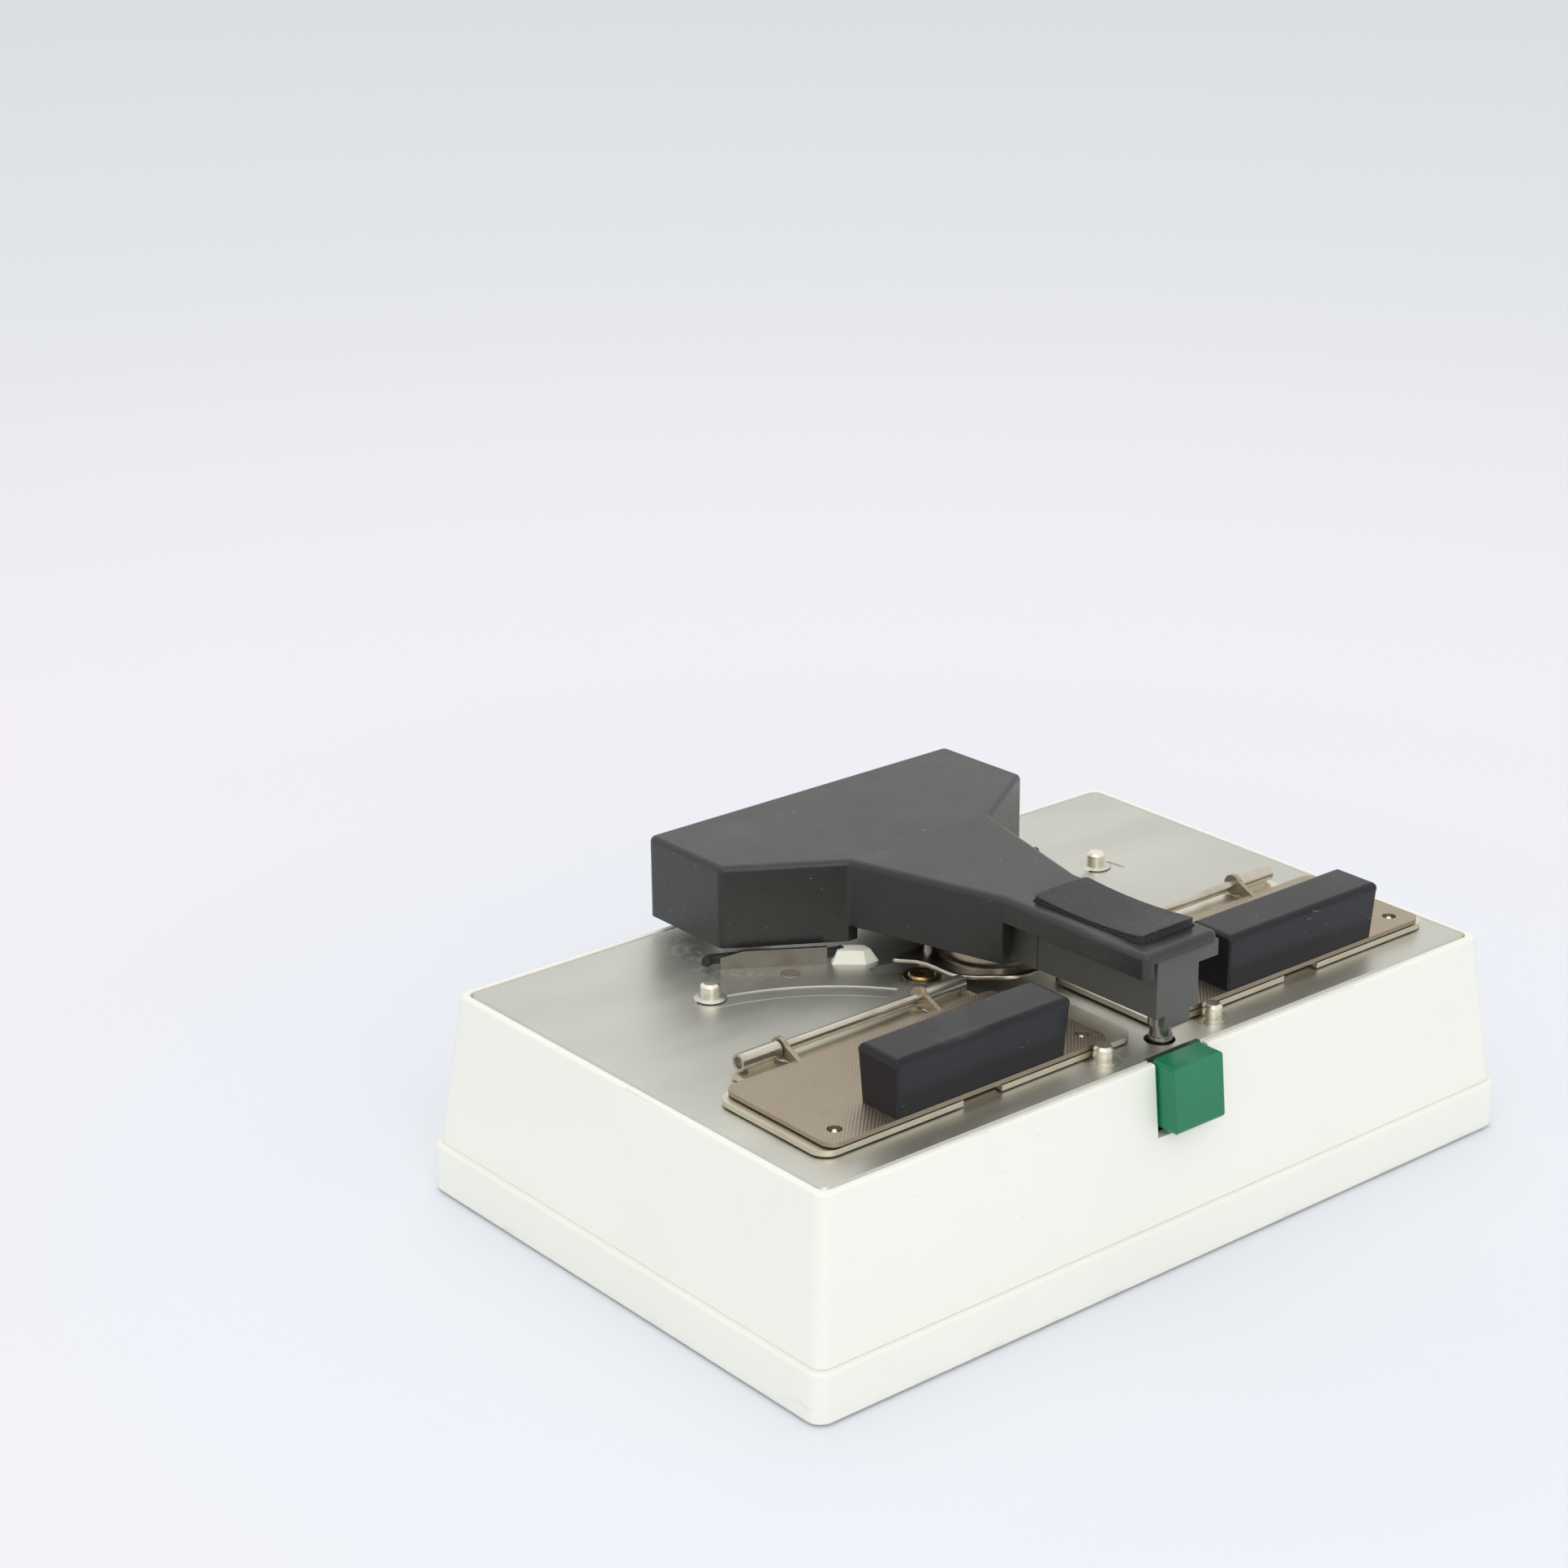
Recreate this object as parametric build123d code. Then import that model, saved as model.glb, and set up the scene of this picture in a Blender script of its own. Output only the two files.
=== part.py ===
from build123d import *
from math import cos, radians, sin
import os

# Film splicer with a motor-driven grinding disc.
# Millimetres, X to the right along the front face, Y to the back, Z up.
# The origin is the centre of the base on the table.

MECH_X = 1.8             # centre line of the film holders and of the head
RUNNING = 0.05           # radial clearance of a pin in its bore
GAP = 0.3                # clearance between pieces that pass each other

# Case
PAN_LENGTH, PAN_WIDTH = 180.0, 115.95
PAN_BOTTOM, PAN_TOP = 0.6, 10.5
PAN_WALL = 2.0
SHELL_FOOT_LENGTH, SHELL_FOOT_WIDTH = 177.9, 114.1
SHELL_TOP_LENGTH, SHELL_TOP_WIDTH = 171.2, 107.4
SHELL_WALL = 2.2
SHELL_TOP = 41.5
DECK_LENGTH, DECK_WIDTH = 168.0, 104.2
DECK_THICKNESS = 1.5
DECK_TOP = 41.55
DECK_UNDER = DECK_TOP - DECK_THICKNESS
SCREW_POST_X, SCREW_POST_Y = 79.0, 46.5
FOOT_X, FOOT_Y = 70.0, 44.0

# Battery compartment in the base, for four cells lying along X
CELL_RADIUS, CELL_LENGTH = 13.0, 50.0
CELL_ROW_Y = 14.2
CELL_Z = 17.9
BATTERY_FLOOR = 2.4      # underside of the raised floor over the door
BATTERY_FLOOR_TOP = 4.0
DOOR_TRAVEL = 12.0
DOOR_HALF_LENGTH, DOOR_HALF_WIDTH = 54.0, 34.0
TONGUE_STARTS = (-45.0, 33.0)
TONGUE_LENGTH = 10.0

# Green key on the front face
KEY_LEFT, KEY_RIGHT = -5.6, 7.1
NOTCH_LEFT, NOTCH_RIGHT = -6.1, 7.8
KEY_BOTTOM, KEY_TOP = 28.8, 41.9
KEY_BACK = -52.4
KEY_TRAVEL = 1.5

# Film holders: the left one is drawn, the right one is its mirror image
HOLDER_PIVOT = (-60.7, -29.5)
LOWER_BOTTOM, LOWER_TOP = DECK_TOP + GAP, 42.95
UPPER_BOTTOM, UPPER_TOP = LOWER_TOP + GAP, 44.15
PLATE_FRONT = -44.2
PLATE_BACK = -14.6
ROD_Y, ROD_Z = -9.8, 44.85
ROD_RADIUS = 1.05
SLEEVE_RADIUS = 1.65
SLEEVE_SPANS = ((-68.0, -58.9), (-23.2, -13.6))
EAR_SPANS = ((-58.6, -57.6), (-24.5, -23.5))
EAR_RADIUS = 2.15
FLANGE_BACK = -9.0
REGISTER_HOLES = ((-70.9, -39.7), (-11.0, -39.7))
HANDLE_LEFT, HANDLE_RIGHT = -60.4, -19.6
HANDLE_FRONT, HANDLE_BACK = -44.0, -34.6
HANDLE_TOP = 55.6
HANDLE_FLARE = 0.55
HANDLE_SCREW_X = (-53.0, -27.0)

# Pieces standing on the deck
STOP_PIN_RADIUS, STOP_PIN_HEIGHT = 1.9, 3.1
FRONT_PINS = ((-12.2, -46.4), (16.5, -46.4))
REAR_PINS = ((-49.6, 21.1), (53.2, 21.1))
DIMPLE_HEIGHT = 0.4
DECK_RIVET = (-30.8, 19.9)
DRIVE_BUSH = (-10.5, 4.5)
PLUNGER_HOLE = (2.4, -46.5)
PLUNGER_HOLE_RADIUS = 2.95

# Head, drawn level and then tilted up at the front about its hinge
HINGE_Y, HINGE_Z = 48.0, 55.0
HINGE_PIN_RADIUS = 1.5
HEAD_REST_TILT = 0.76
HEAD_TOP = 61.38
HEAD_WALL = 2.1
HEAD_ROOF = HEAD_TOP - HEAD_WALL
HEAD_HALF_OUTLINE = ((39.7, 55.2), (40.0, 32.2), (18.8, 18.7), (9.5, -14.7), (9.47, -52.0))
WING_SKIRT, SIDE_SKIRT, ARM_SKIRT = 44.54, 47.8, 56.4
WING_FRONT, SIDE_FRONT = 18.7, -14.7
ARM_FRONT = -52.0
CHASSIS_BOTTOM, CHASSIS_TOP = 56.5, 58.0
ARM_BLOCK_HALF, ARM_BLOCK_BOTTOM = 5.4, 47.4
ARM_BLOCK_FRONT, ARM_BLOCK_BACK = -51.0, -12.0
HEAD_SCREW_TIP = HEAD_ROOF + 0.8
HEAD_SCREWS = ((MECH_X - 28.0, 33.5), (MECH_X + 28.0, 33.5))
PLUNGER = (2.6, -46.3)
THUMB_X = 2.5

# Friction drive inside the head
WHEEL_BOTTOM, WHEEL_TOP = 53.5, 55.5
SPINDLE_Y, SPINDLE_WHEEL_RADIUS = -1.0, 8.9
IDLER_RADIUS, ROLLER_RADIUS = 6.4, 2.5
IDLER_Y = SPINDLE_Y + SPINDLE_WHEEL_RADIUS + GAP + IDLER_RADIUS
ROLLER_Y = IDLER_Y + IDLER_RADIUS + GAP + ROLLER_RADIUS
DISC_RADIUS, DISC_BOTTOM, DISC_TOP = 9.2, 44.6, 46.2
MOTOR_RADIUS, MOTOR_BOTTOM, MOTOR_TOP = 10.0, 44.6, 52.6

# Guard round the disc: angle in degrees about the spindle and reach, for the left half
GUARD_REACH = ((90, 11.6), (118, 12.0), (138, 13.0), (149, 15.8), (154, 19.0), (158, 19.9), (161, 18.0),
               (165, 15.9), (172, 14.6), (181, 14.1), (190, 14.2), (200, 14.6), (211, 14.6), (221, 14.4),
               (231, 14.1), (240, 14.5), (250, 14.7), (270, 14.6))
GUARD_TOP, GUARD_RIM, GUARD_BORE = 44.35, 0.6, 9.9


def block(x0, x1, y0, y1, z0, z1):
    """Box between two corners."""
    centre = Pos((x0 + x1) / 2, (y0 + y1) / 2, (z0 + z1) / 2)
    return centre * Box(x1 - x0, y1 - y0, z1 - z0)


def post(x, y, radius, z0, z1):
    """Upright cylinder."""
    return Pos(x, y, (z0 + z1) / 2) * Cylinder(radius, z1 - z0)


def bar(x0, x1, y, z, radius):
    """Cylinder along X."""
    return Pos((x0 + x1) / 2, y, z) * Rot(0, 90, 0) * Cylinder(radius, x1 - x0)


def raised(outline, z0, z1):
    """Upright prism over a flat outline, from z0 up to z1."""
    return extrude(Pos(0, 0, z0) * outline, z1 - z0, dir=(0, 0, 1))


def drawn_across(profile, x0, x1):
    """Prism along X over a flat profile whose coordinates are y and z."""
    return Pos(x0, 0, 0) * extrude(Plane.YZ * profile, x1 - x0, dir=(1, 0, 0))


def slab(points, z0, z1, rounding=0.0):
    """Upright prism over a closed outline, with its upright edges rounded."""
    outline = Polygon(*points, align=None)
    if rounding:
        outline = fillet(outline.vertices(), rounding)
    return raised(outline, z0, z1)


def rounded_slab(length, width, z0, z1, rounding):
    """Rounded rectangle about the origin, drawn up from z0 to z1."""
    return raised(RectangleRounded(length, width, rounding), z0, z1)


def mirrored(shape):
    """The same piece on the other side of the mechanism's centre line."""
    return mirror(shape, about=Plane.YZ.offset(MECH_X))


def both_sides(shape):
    """A pair of separate solids, left and right of the centre line."""
    return Compound(children=[shape, mirrored(shape)])


def tilted(shape):
    """Head piece moved from its level drawing to the resting position."""
    swing = Pos(0, HINGE_Y, HINGE_Z) * Rot(-HEAD_REST_TILT, 0, 0) * Pos(0, -HINGE_Y, -HINGE_Z)
    return swing * shape


def head_outline(inset=0.0):
    """Plan of the head: a rear wing, slanting sides and a narrow arm."""
    right = [(MECH_X + half, y) for half, y in HEAD_HALF_OUTLINE]
    left = [(MECH_X - half, y) for half, y in reversed(HEAD_HALF_OUTLINE)]
    outline = Polygon(*right, *left, align=None)
    if inset:
        return offset(outline, -inset, kind=Kind.INTERSECTION)
    return outline


# ---------------------------------------------------------------- case

def shell_size(z, inset=0.0):
    """Length and width of the leaning shell at a height."""
    share = (z - PAN_TOP) / (SHELL_TOP - PAN_TOP)
    length = SHELL_FOOT_LENGTH + share * (SHELL_TOP_LENGTH - SHELL_FOOT_LENGTH)
    width = SHELL_FOOT_WIDTH + share * (SHELL_TOP_WIDTH - SHELL_FOOT_WIDTH)
    return length - 2 * inset, width - 2 * inset


def shell_body(z0, z1, inset, rounding):
    """Leaning block between two heights."""
    low = Pos(0, 0, z0) * RectangleRounded(*shell_size(z0, inset), rounding)
    high = Pos(0, 0, z1) * RectangleRounded(*shell_size(z1, inset), rounding)
    return loft([low, high])


def screw_post_places():
    return [(sx * SCREW_POST_X, sy * SCREW_POST_Y) for sx in (-1, 1) for sy in (-1, 1)]


def foot_places():
    return [(sx * FOOT_X, sy * FOOT_Y) for sx in (-1, 1) for sy in (-1, 1)]


def base_pan():
    pan = rounded_slab(PAN_LENGTH, PAN_WIDTH, PAN_BOTTOM, PAN_TOP, 3.0)
    pan = fillet(pan.edges().group_by(Axis.Z)[-1], 0.9)
    pan -= rounded_slab(PAN_LENGTH - 2 * PAN_WALL, PAN_WIDTH - 2 * PAN_WALL, 2.6, PAN_TOP + 1, 1.5)
    pan += block(-58, 72, -37, 37, 2.6, BATTERY_FLOOR_TOP)
    pan -= block(-DOOR_HALF_LENGTH - 0.5, DOOR_HALF_LENGTH + DOOR_TRAVEL + 1.5,
                 -DOOR_HALF_WIDTH - 0.5, DOOR_HALF_WIDTH + 0.5, 0, BATTERY_FLOOR)
    pan -= block(-51, 51, -28, 28, 0, 5)
    for start in TONGUE_STARTS:
        for side in (-1, 1):
            edges = sorted((side * 29.7, side * 32.3))
            pan -= block(start - 0.5, start + TONGUE_LENGTH + DOOR_TRAVEL + 0.5, *edges, 0, 5)
    for x, y in screw_post_places():
        pan += post(x, y, 4.5, 2.6, 9.4)
        pan -= post(x, y, 3.3, 0, 4.6)
        pan -= post(x, y, 1.7, 0, 10)
    for x, y in foot_places():
        pan -= post(x, y, 6.1, 0, 1.6)
    return pan


def upper_case():
    shell = shell_body(PAN_TOP, SHELL_TOP, 0, 2.5)
    shell = fillet(shell.edges().group_by(Axis.Z)[-1], 0.6)
    shell -= shell_body(PAN_TOP, 37.9, SHELL_WALL, 1.2)
    shell -= rounded_slab(DECK_LENGTH + 0.4, DECK_WIDTH + 0.4, DECK_UNDER, 45, 2.0)
    shell -= rounded_slab(160, 96, 30, 45, 3.0)
    # Lip that drops inside the pan
    lip = rounded_slab(PAN_LENGTH - 4.6, PAN_WIDTH - 4.6, 8.4, PAN_TOP, 1.4)
    lip -= rounded_slab(PAN_LENGTH - 8.0, PAN_WIDTH - 8.0, 8.4, PAN_TOP, 1.2)
    shell += lip
    for x, y in screw_post_places():
        shell += post(x, y, 3.9, 9.4, 38.5)
        shell -= post(x, y, 1.3, 9.4, 26)
    # Notch that the green key stands in, and room behind it for its slide
    shell -= block(NOTCH_LEFT, NOTCH_RIGHT, -62, -50, 27.2, 45)
    shell -= block(-8.0, 22.0, -52.4, -45, 27.2, DECK_UNDER)
    return shell


def deck_cutout_points():
    """Irregular window round the brass bush."""
    return [(-18.3, 9.6), (-17.8, 12.0), (-12.4, 11.0), (-6.5, 9.5), (-5.5, 1.0),
            (-9.0, -1.5), (-14.6, -0.4), (-17.1, 3.0), (-14.8, 6.0)]


def coined_trough():
    """Shallow arc pressed into the deck, on a circle about the holder's pivot."""
    trough = post(*HOLDER_PIVOT, 51.4, DECK_TOP - 0.2, DECK_TOP + 1)
    trough -= post(*HOLDER_PIVOT, 46.8, DECK_TOP - 0.2, DECK_TOP + 1)
    wedge_points = [HOLDER_PIVOT, (-60.7 + 80, -29.5 + 60), (-60.7 + 13, -29.5 + 90)]
    return trough & slab(wedge_points, DECK_TOP - 1, DECK_TOP + 2)


def deck_plate():
    deck = rounded_slab(DECK_LENGTH, DECK_WIDTH, DECK_UNDER, DECK_TOP, 1.8)
    deck = chamfer(deck.edges().group_by(Axis.Z)[-1], 0.6)
    trough = coined_trough()
    window = slab(deck_cutout_points(), DECK_UNDER - 1, DECK_TOP + 1, 0.5)
    deck -= [trough, mirrored(trough), window, mirrored(window)]
    for x, y in REAR_PINS:
        deck += Pos(x, y, DECK_TOP + DIMPLE_HEIGHT / 2) * Cone(3.2, 2.3, DIMPLE_HEIGHT)
    for x, y in FRONT_PINS:
        ring = post(x, y, 3.6, DECK_TOP - 0.2, DECK_TOP + 1) - post(x, y, 2.4, DECK_TOP - 0.2, DECK_TOP + 1)
        deck -= ring
    for x, y in FRONT_PINS + REAR_PINS:
        deck -= post(x, y, 1.3, DECK_UNDER - 1, DECK_TOP + 2)
    stud_hole = post(*HOLDER_PIVOT, 3.02, DECK_UNDER - 1, DECK_TOP + 1)
    rivet_hole = post(*DECK_RIVET, 1.9, DECK_UNDER - 1, DECK_TOP + 1)
    deck -= [stud_hole, mirrored(stud_hole), rivet_hole, mirrored(rivet_hole)]
    deck -= post(*PLUNGER_HOLE, PLUNGER_HOLE_RADIUS, DECK_UNDER - 1, DECK_TOP + 1)
    deck -= block(NOTCH_LEFT, NOTCH_RIGHT, -60, KEY_BACK + KEY_TRAVEL + GAP, DECK_UNDER - 1, DECK_TOP + 1)
    return deck


def stop_pins():
    pins = []
    for places, seat in ((FRONT_PINS, DECK_TOP), (REAR_PINS, DECK_TOP + DIMPLE_HEIGHT)):
        for x, y in places:
            pin = post(x, y, STOP_PIN_RADIUS, seat, DECK_TOP + STOP_PIN_HEIGHT)
            pin = chamfer(pin.edges().group_by(Axis.Z)[-1], 0.5)
            pins.append(pin + post(x, y, 1.3, DECK_UNDER, seat))
    return Compound(children=pins)


def holder_pivot_studs():
    x, y = HOLDER_PIVOT
    stud = post(x, y, 3.0, DECK_UNDER - 1.6, 42.85)
    stud += post(x, y, 5.0, DECK_UNDER - 1.6, DECK_UNDER)
    stud += post(x, y, 5.5, DECK_TOP, LOWER_BOTTOM - 0.1)
    stud += post(x, y, 4.3, 42.35, 42.85)
    return both_sides(stud)


def mechanism_plate():
    plate = slab([(MECH_X - 38, -5), (MECH_X + 38, -5), (MECH_X + 38, 24), (MECH_X - 38, 24)],
                 DECK_UNDER - 1.2, DECK_UNDER, 2.0)
    rivet_hole = post(*DECK_RIVET, 1.2, 38, 41)
    bush_hole = post(*DRIVE_BUSH, 2.75, 38, 41)
    plate -= [rivet_hole, mirrored(rivet_hole), bush_hole, mirrored(bush_hole)]
    return plate


def deck_rivets():
    x, y = DECK_RIVET
    rivet = post(x, y, 1.9, DECK_UNDER, DECK_TOP + 0.05)
    rivet += post(x, y, 1.2, 38.1, DECK_UNDER)
    rivet += post(x, y, 2.1, 38.1, DECK_UNDER - 1.2)
    return both_sides(rivet)


def drive_bushes():
    x, y = DRIVE_BUSH
    bush = post(x, y, 2.75, 36.5, 41.2)
    bush = chamfer(bush.edges().group_by(Axis.Z)[-1], 0.3)
    bush -= post(x, y, 1.0, 36, 42)
    return both_sides(bush)


def bush_washers():
    x, y = DRIVE_BUSH
    washer = post(x, y, 3.8, DECK_UNDER, DECK_UNDER + 0.7) - post(x, y, 2.75, 40, 41)
    return both_sides(washer)


def guide_wall():
    """Upright steel strip on a foot, square to the holder's far end when it is swung back."""
    start, end = Vector(-39.9, 30.2), Vector(-22.3, 18.9)
    along = (end - start).normalized()
    behind = Vector(-along.Y, along.X)
    wall_points = [start, end, end + behind * 0.8, start + behind * 0.8]
    wall = slab([(p.X, p.Y) for p in wall_points], DECK_TOP, 45.0)
    foot_end = end - along * 3.0
    foot_points = [start + along, foot_end, foot_end + behind * 5.0, start + along + behind * 5.0]
    foot = slab([(p.X, p.Y) for p in foot_points], DECK_TOP, DECK_TOP + 0.8)
    # The outer end slopes down
    corner = start - along
    slope_plane = Plane(origin=(corner.X, corner.Y, 0), x_dir=(along.X, along.Y, 0), z_dir=(behind.X, behind.Y, 0))
    slope = Polygon((-1, -43.3), (5.6, -45.0), (5.6, -50), (-1, -50), align=None)
    if slope_plane.y_dir.Z > 0:
        slope = Polygon((-1, 43.3), (5.6, 45.0), (5.6, 50), (-1, 50), align=None)
    wall -= extrude(slope_plane * slope, 6, both=True)
    return wall + foot


def film_wedge():
    """White faceted block that the film end rides up on."""
    base = Polygon((-22.0, 17.8), (-17.0, 13.5), (-13.6, 13.6), (-13.2, 17.5), (-18.8, 22.2),
                   (-21.0, 19.6), align=None)
    return extrude(Pos(0, 0, DECK_TOP) * base, 2.45, taper=28)


def head_hinge_bracket():
    strip = slab([(MECH_X - 21.2, 43), (MECH_X + 21.2, 43), (MECH_X + 21.2, 51.8), (MECH_X - 21.2, 51.8)],
                 DECK_TOP, DECK_TOP + 1.5)
    bracket = strip
    for x0 in (MECH_X - 21.2, MECH_X + 19.7):
        bracket += block(x0, x0 + 1.5, HINGE_Y - 4, HINGE_Y + 4, DECK_TOP, HINGE_Z)
        bracket += bar(x0, x0 + 1.5, HINGE_Y, HINGE_Z, 4.0)
    bracket -= bar(MECH_X - 30, MECH_X + 30, HINGE_Y, HINGE_Z, HINGE_PIN_RADIUS)
    for x in (MECH_X - 11, MECH_X + 11):
        bracket -= post(x, HINGE_Y, 1.5, DECK_UNDER, DECK_TOP + 3)
    return bracket


def bracket_screws():
    screws = []
    for x in (MECH_X - 11, MECH_X + 11):
        head = post(x, HINGE_Y, 2.7, DECK_TOP + 1.5, DECK_TOP + 3.1)
        head = chamfer(head.edges().group_by(Axis.Z)[-1], 0.4)
        screws.append(head + post(x, HINGE_Y, 1.5, DECK_TOP, DECK_TOP + 1.5))
    return Compound(children=screws)


def head_hinge_pin():
    pin = bar(MECH_X - 22.0, MECH_X + 22.0, HINGE_Y, HINGE_Z, HINGE_PIN_RADIUS)
    pin += bar(MECH_X - 22.0, MECH_X - 21.2, HINGE_Y, HINGE_Z, 2.3)
    pin += bar(MECH_X + 21.2, MECH_X + 22.0, HINGE_Y, HINGE_Z, 2.3)
    return pin


def rubber_feet():
    feet = []
    for x, y in foot_places():
        foot = post(x, y, 6.0, 0, 1.6)
        feet.append(fillet(foot.edges().group_by(Axis.Z)[0], 0.4))
    return Compound(children=feet)


def case_screws():
    screws = []
    for x, y in screw_post_places():
        screw = post(x, y, 2.9, 2.6, 4.6) - block(x - 3, x + 3, y - 0.4, y + 0.4, 2, 3.4)
        screw += post(x, y, 1.3, 4.6, 20)
        screws.append(screw)
    return Compound(children=screws)


# ---------------------------------------------------------------- battery compartment

def battery_tray():
    tray = block(-54.5, 54.5, -29.2, 29.2, BATTERY_FLOOR_TOP, 32.6)
    tray -= block(-53.3, 53.3, -28.0, -0.6, 3, 31.4)
    tray -= block(-53.3, 53.3, 0.6, 28.0, 3, 31.4)
    return tray


def battery_cells():
    cells = []
    for y in (-CELL_ROW_Y, CELL_ROW_Y):
        for x0 in (-50.8, 0.9):
            cell = bar(x0, x0 + CELL_LENGTH - 1.6, y, CELL_Z, CELL_RADIUS)
            cell = fillet(cell.edges(), 0.8)
            cells.append(cell + bar(x0 + CELL_LENGTH - 1.6, x0 + CELL_LENGTH - 0.2, y, CELL_Z, 3.2))
    return Compound(children=cells)


def battery_contacts():
    contacts = []
    for x in (-53.3, 52.8):
        for y in (-CELL_ROW_Y, CELL_ROW_Y):
            contacts.append(block(x, x + 0.5, y - 5, y + 5, CELL_Z - 8, CELL_Z + 8))
    return Compound(children=contacts)


def battery_door():
    door = slab([(-DOOR_HALF_LENGTH, -DOOR_HALF_WIDTH), (DOOR_HALF_LENGTH, -DOOR_HALF_WIDTH),
                 (DOOR_HALF_LENGTH, DOOR_HALF_WIDTH), (-DOOR_HALF_LENGTH, DOOR_HALF_WIDTH)],
                0.8, BATTERY_FLOOR - GAP, 1.0)
    for start in TONGUE_STARTS:
        for side in (-1, 1):
            neck = sorted((side * 30.2, side * 31.8))
            lip = sorted((side * 30.2, side * 34.4))
            door += block(start, start + TONGUE_LENGTH, *neck, BATTERY_FLOOR - 1, 5.4)
            door += block(start, start + TONGUE_LENGTH, *lip, BATTERY_FLOOR_TOP + GAP, 5.4)
    for x in (-46, -43, -40):
        door -= block(x, x + 1.2, -10, 10, 0, 1.2)
    return door


# ---------------------------------------------------------------- switch and green key

def switch_bracket():
    bracket = block(13.0, 21.0, -50.0, -43.0, DECK_UNDER - 1, DECK_UNDER)
    bracket += block(13.0, 14.0, -50.0, -43.0, 24.0, DECK_UNDER)
    return bracket


def micro_switch():
    body = block(-7.0, 13.0, -49.7, -43.3, 24.2, 34.0)
    body -= block(0.9, 3.9, -48.1, -44.9, 32.2, 35)
    for x in (-4.0, 10.0):
        body -= Pos(x, -46.5, 27.5) * Rot(90, 0, 0) * Cylinder(1.2, 10)
    for x in (-5.5, 2.0, 9.5):
        body += block(x, x + 2.4, -46.8, -46.2, 20.0, 24.2)
    return body


def switch_button():
    button = block(1.2, 3.6, -47.8, -45.2, 33.2, 35.4)
    return fillet(button.edges().group_by(Axis.Z)[-1], 0.4)


def latch_guide():
    """Strap under the deck that the key's slide runs through."""
    strap = block(-6.9, 10.5, -50.0, -48.9, 34.6, DECK_UNDER)
    return strap - block(-5.6, 9.2, -51, -48, 35.9, 37.9)


def green_key():
    """Push key whose face leans with the case wall."""
    lean = (SHELL_TOP_WIDTH - SHELL_FOOT_WIDTH) / 2 / (SHELL_TOP - PAN_TOP)
    face_top = -57.9
    face_bottom = face_top + lean * (KEY_TOP - KEY_BOTTOM)
    profile = Polygon((face_bottom, KEY_BOTTOM), (face_top, KEY_TOP), (KEY_BACK, KEY_TOP),
                      (KEY_BACK, KEY_BOTTOM), align=None)
    key = drawn_across(profile, KEY_LEFT, KEY_RIGHT)
    front = key.edges().group_by(Axis.Y)[0] + key.edges().filter_by(Axis.Y)
    key = fillet(front, 0.9)
    return key


def latch_plate():
    """Slide behind the key, slotted for the head's plunger."""
    plate = block(-5.2, 8.8, KEY_BACK, -43.5, 36.4, 37.4)
    plate -= block(2.3 - 2.9, 2.3 + 2.9, -46.5, -43, 36, 38)
    plate -= post(2.3, -46.5, 2.9, 36, 38)
    plate += block(-4.0, 4.5, KEY_BACK, KEY_BACK + 0.5, 33.0, 37.4)
    return plate


# ---------------------------------------------------------------- film holders

def lower_plate():
    left, right = -77.3, -1.3
    plate = slab([(left, PLATE_FRONT), (right, PLATE_FRONT), (right, -14.5), (left, -14.5)],
                 LOWER_BOTTOM, LOWER_TOP, 3.5)
    plate += block(-69.0, -12.0, -18.0, FLANGE_BACK, LOWER_BOTTOM, LOWER_TOP)
    # Gaps in the rear flange for the ears of the upper plate
    for x0, x1 in EAR_SPANS:
        plate -= block(x0 - 0.5, x1 + 0.5, ROD_Y - 3.2, ROD_Y + 3.2, 40, 44)
    plate -= block(-44.7, -35.3, PLATE_FRONT - 1, PLATE_FRONT + 2.0, 40, 44)
    plate -= post(*HOLDER_PIVOT, 3.0 + RUNNING, 40, 44)
    plate -= post(*HOLDER_PIVOT, 4.7, 42.25, 44)
    for x, y in REGISTER_HOLES:
        plate -= post(x, y, 0.6, 40, 44)
    return plate


def hinge_sleeves():
    sleeves = []
    for x0, x1 in SLEEVE_SPANS:
        sleeve = bar(x0, x1, ROD_Y, ROD_Z, SLEEVE_RADIUS)
        sleeve += block(x0 + 1.5, x1 - 1.5, ROD_Y - 1.1, ROD_Y + 0.6, LOWER_TOP, ROD_Z)
        sleeves.append(sleeve - bar(x0 - 1, x1 + 1, ROD_Y, ROD_Z, ROD_RADIUS + RUNNING))
    return Compound(children=sleeves)


def register_pins():
    pins = []
    for x, y in REGISTER_HOLES:
        pin = post(x, y, 0.6, LOWER_BOTTOM, 43.95)
        pins.append(chamfer(pin.edges().group_by(Axis.Z)[-1], 0.25))
    return Compound(children=pins)


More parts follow.
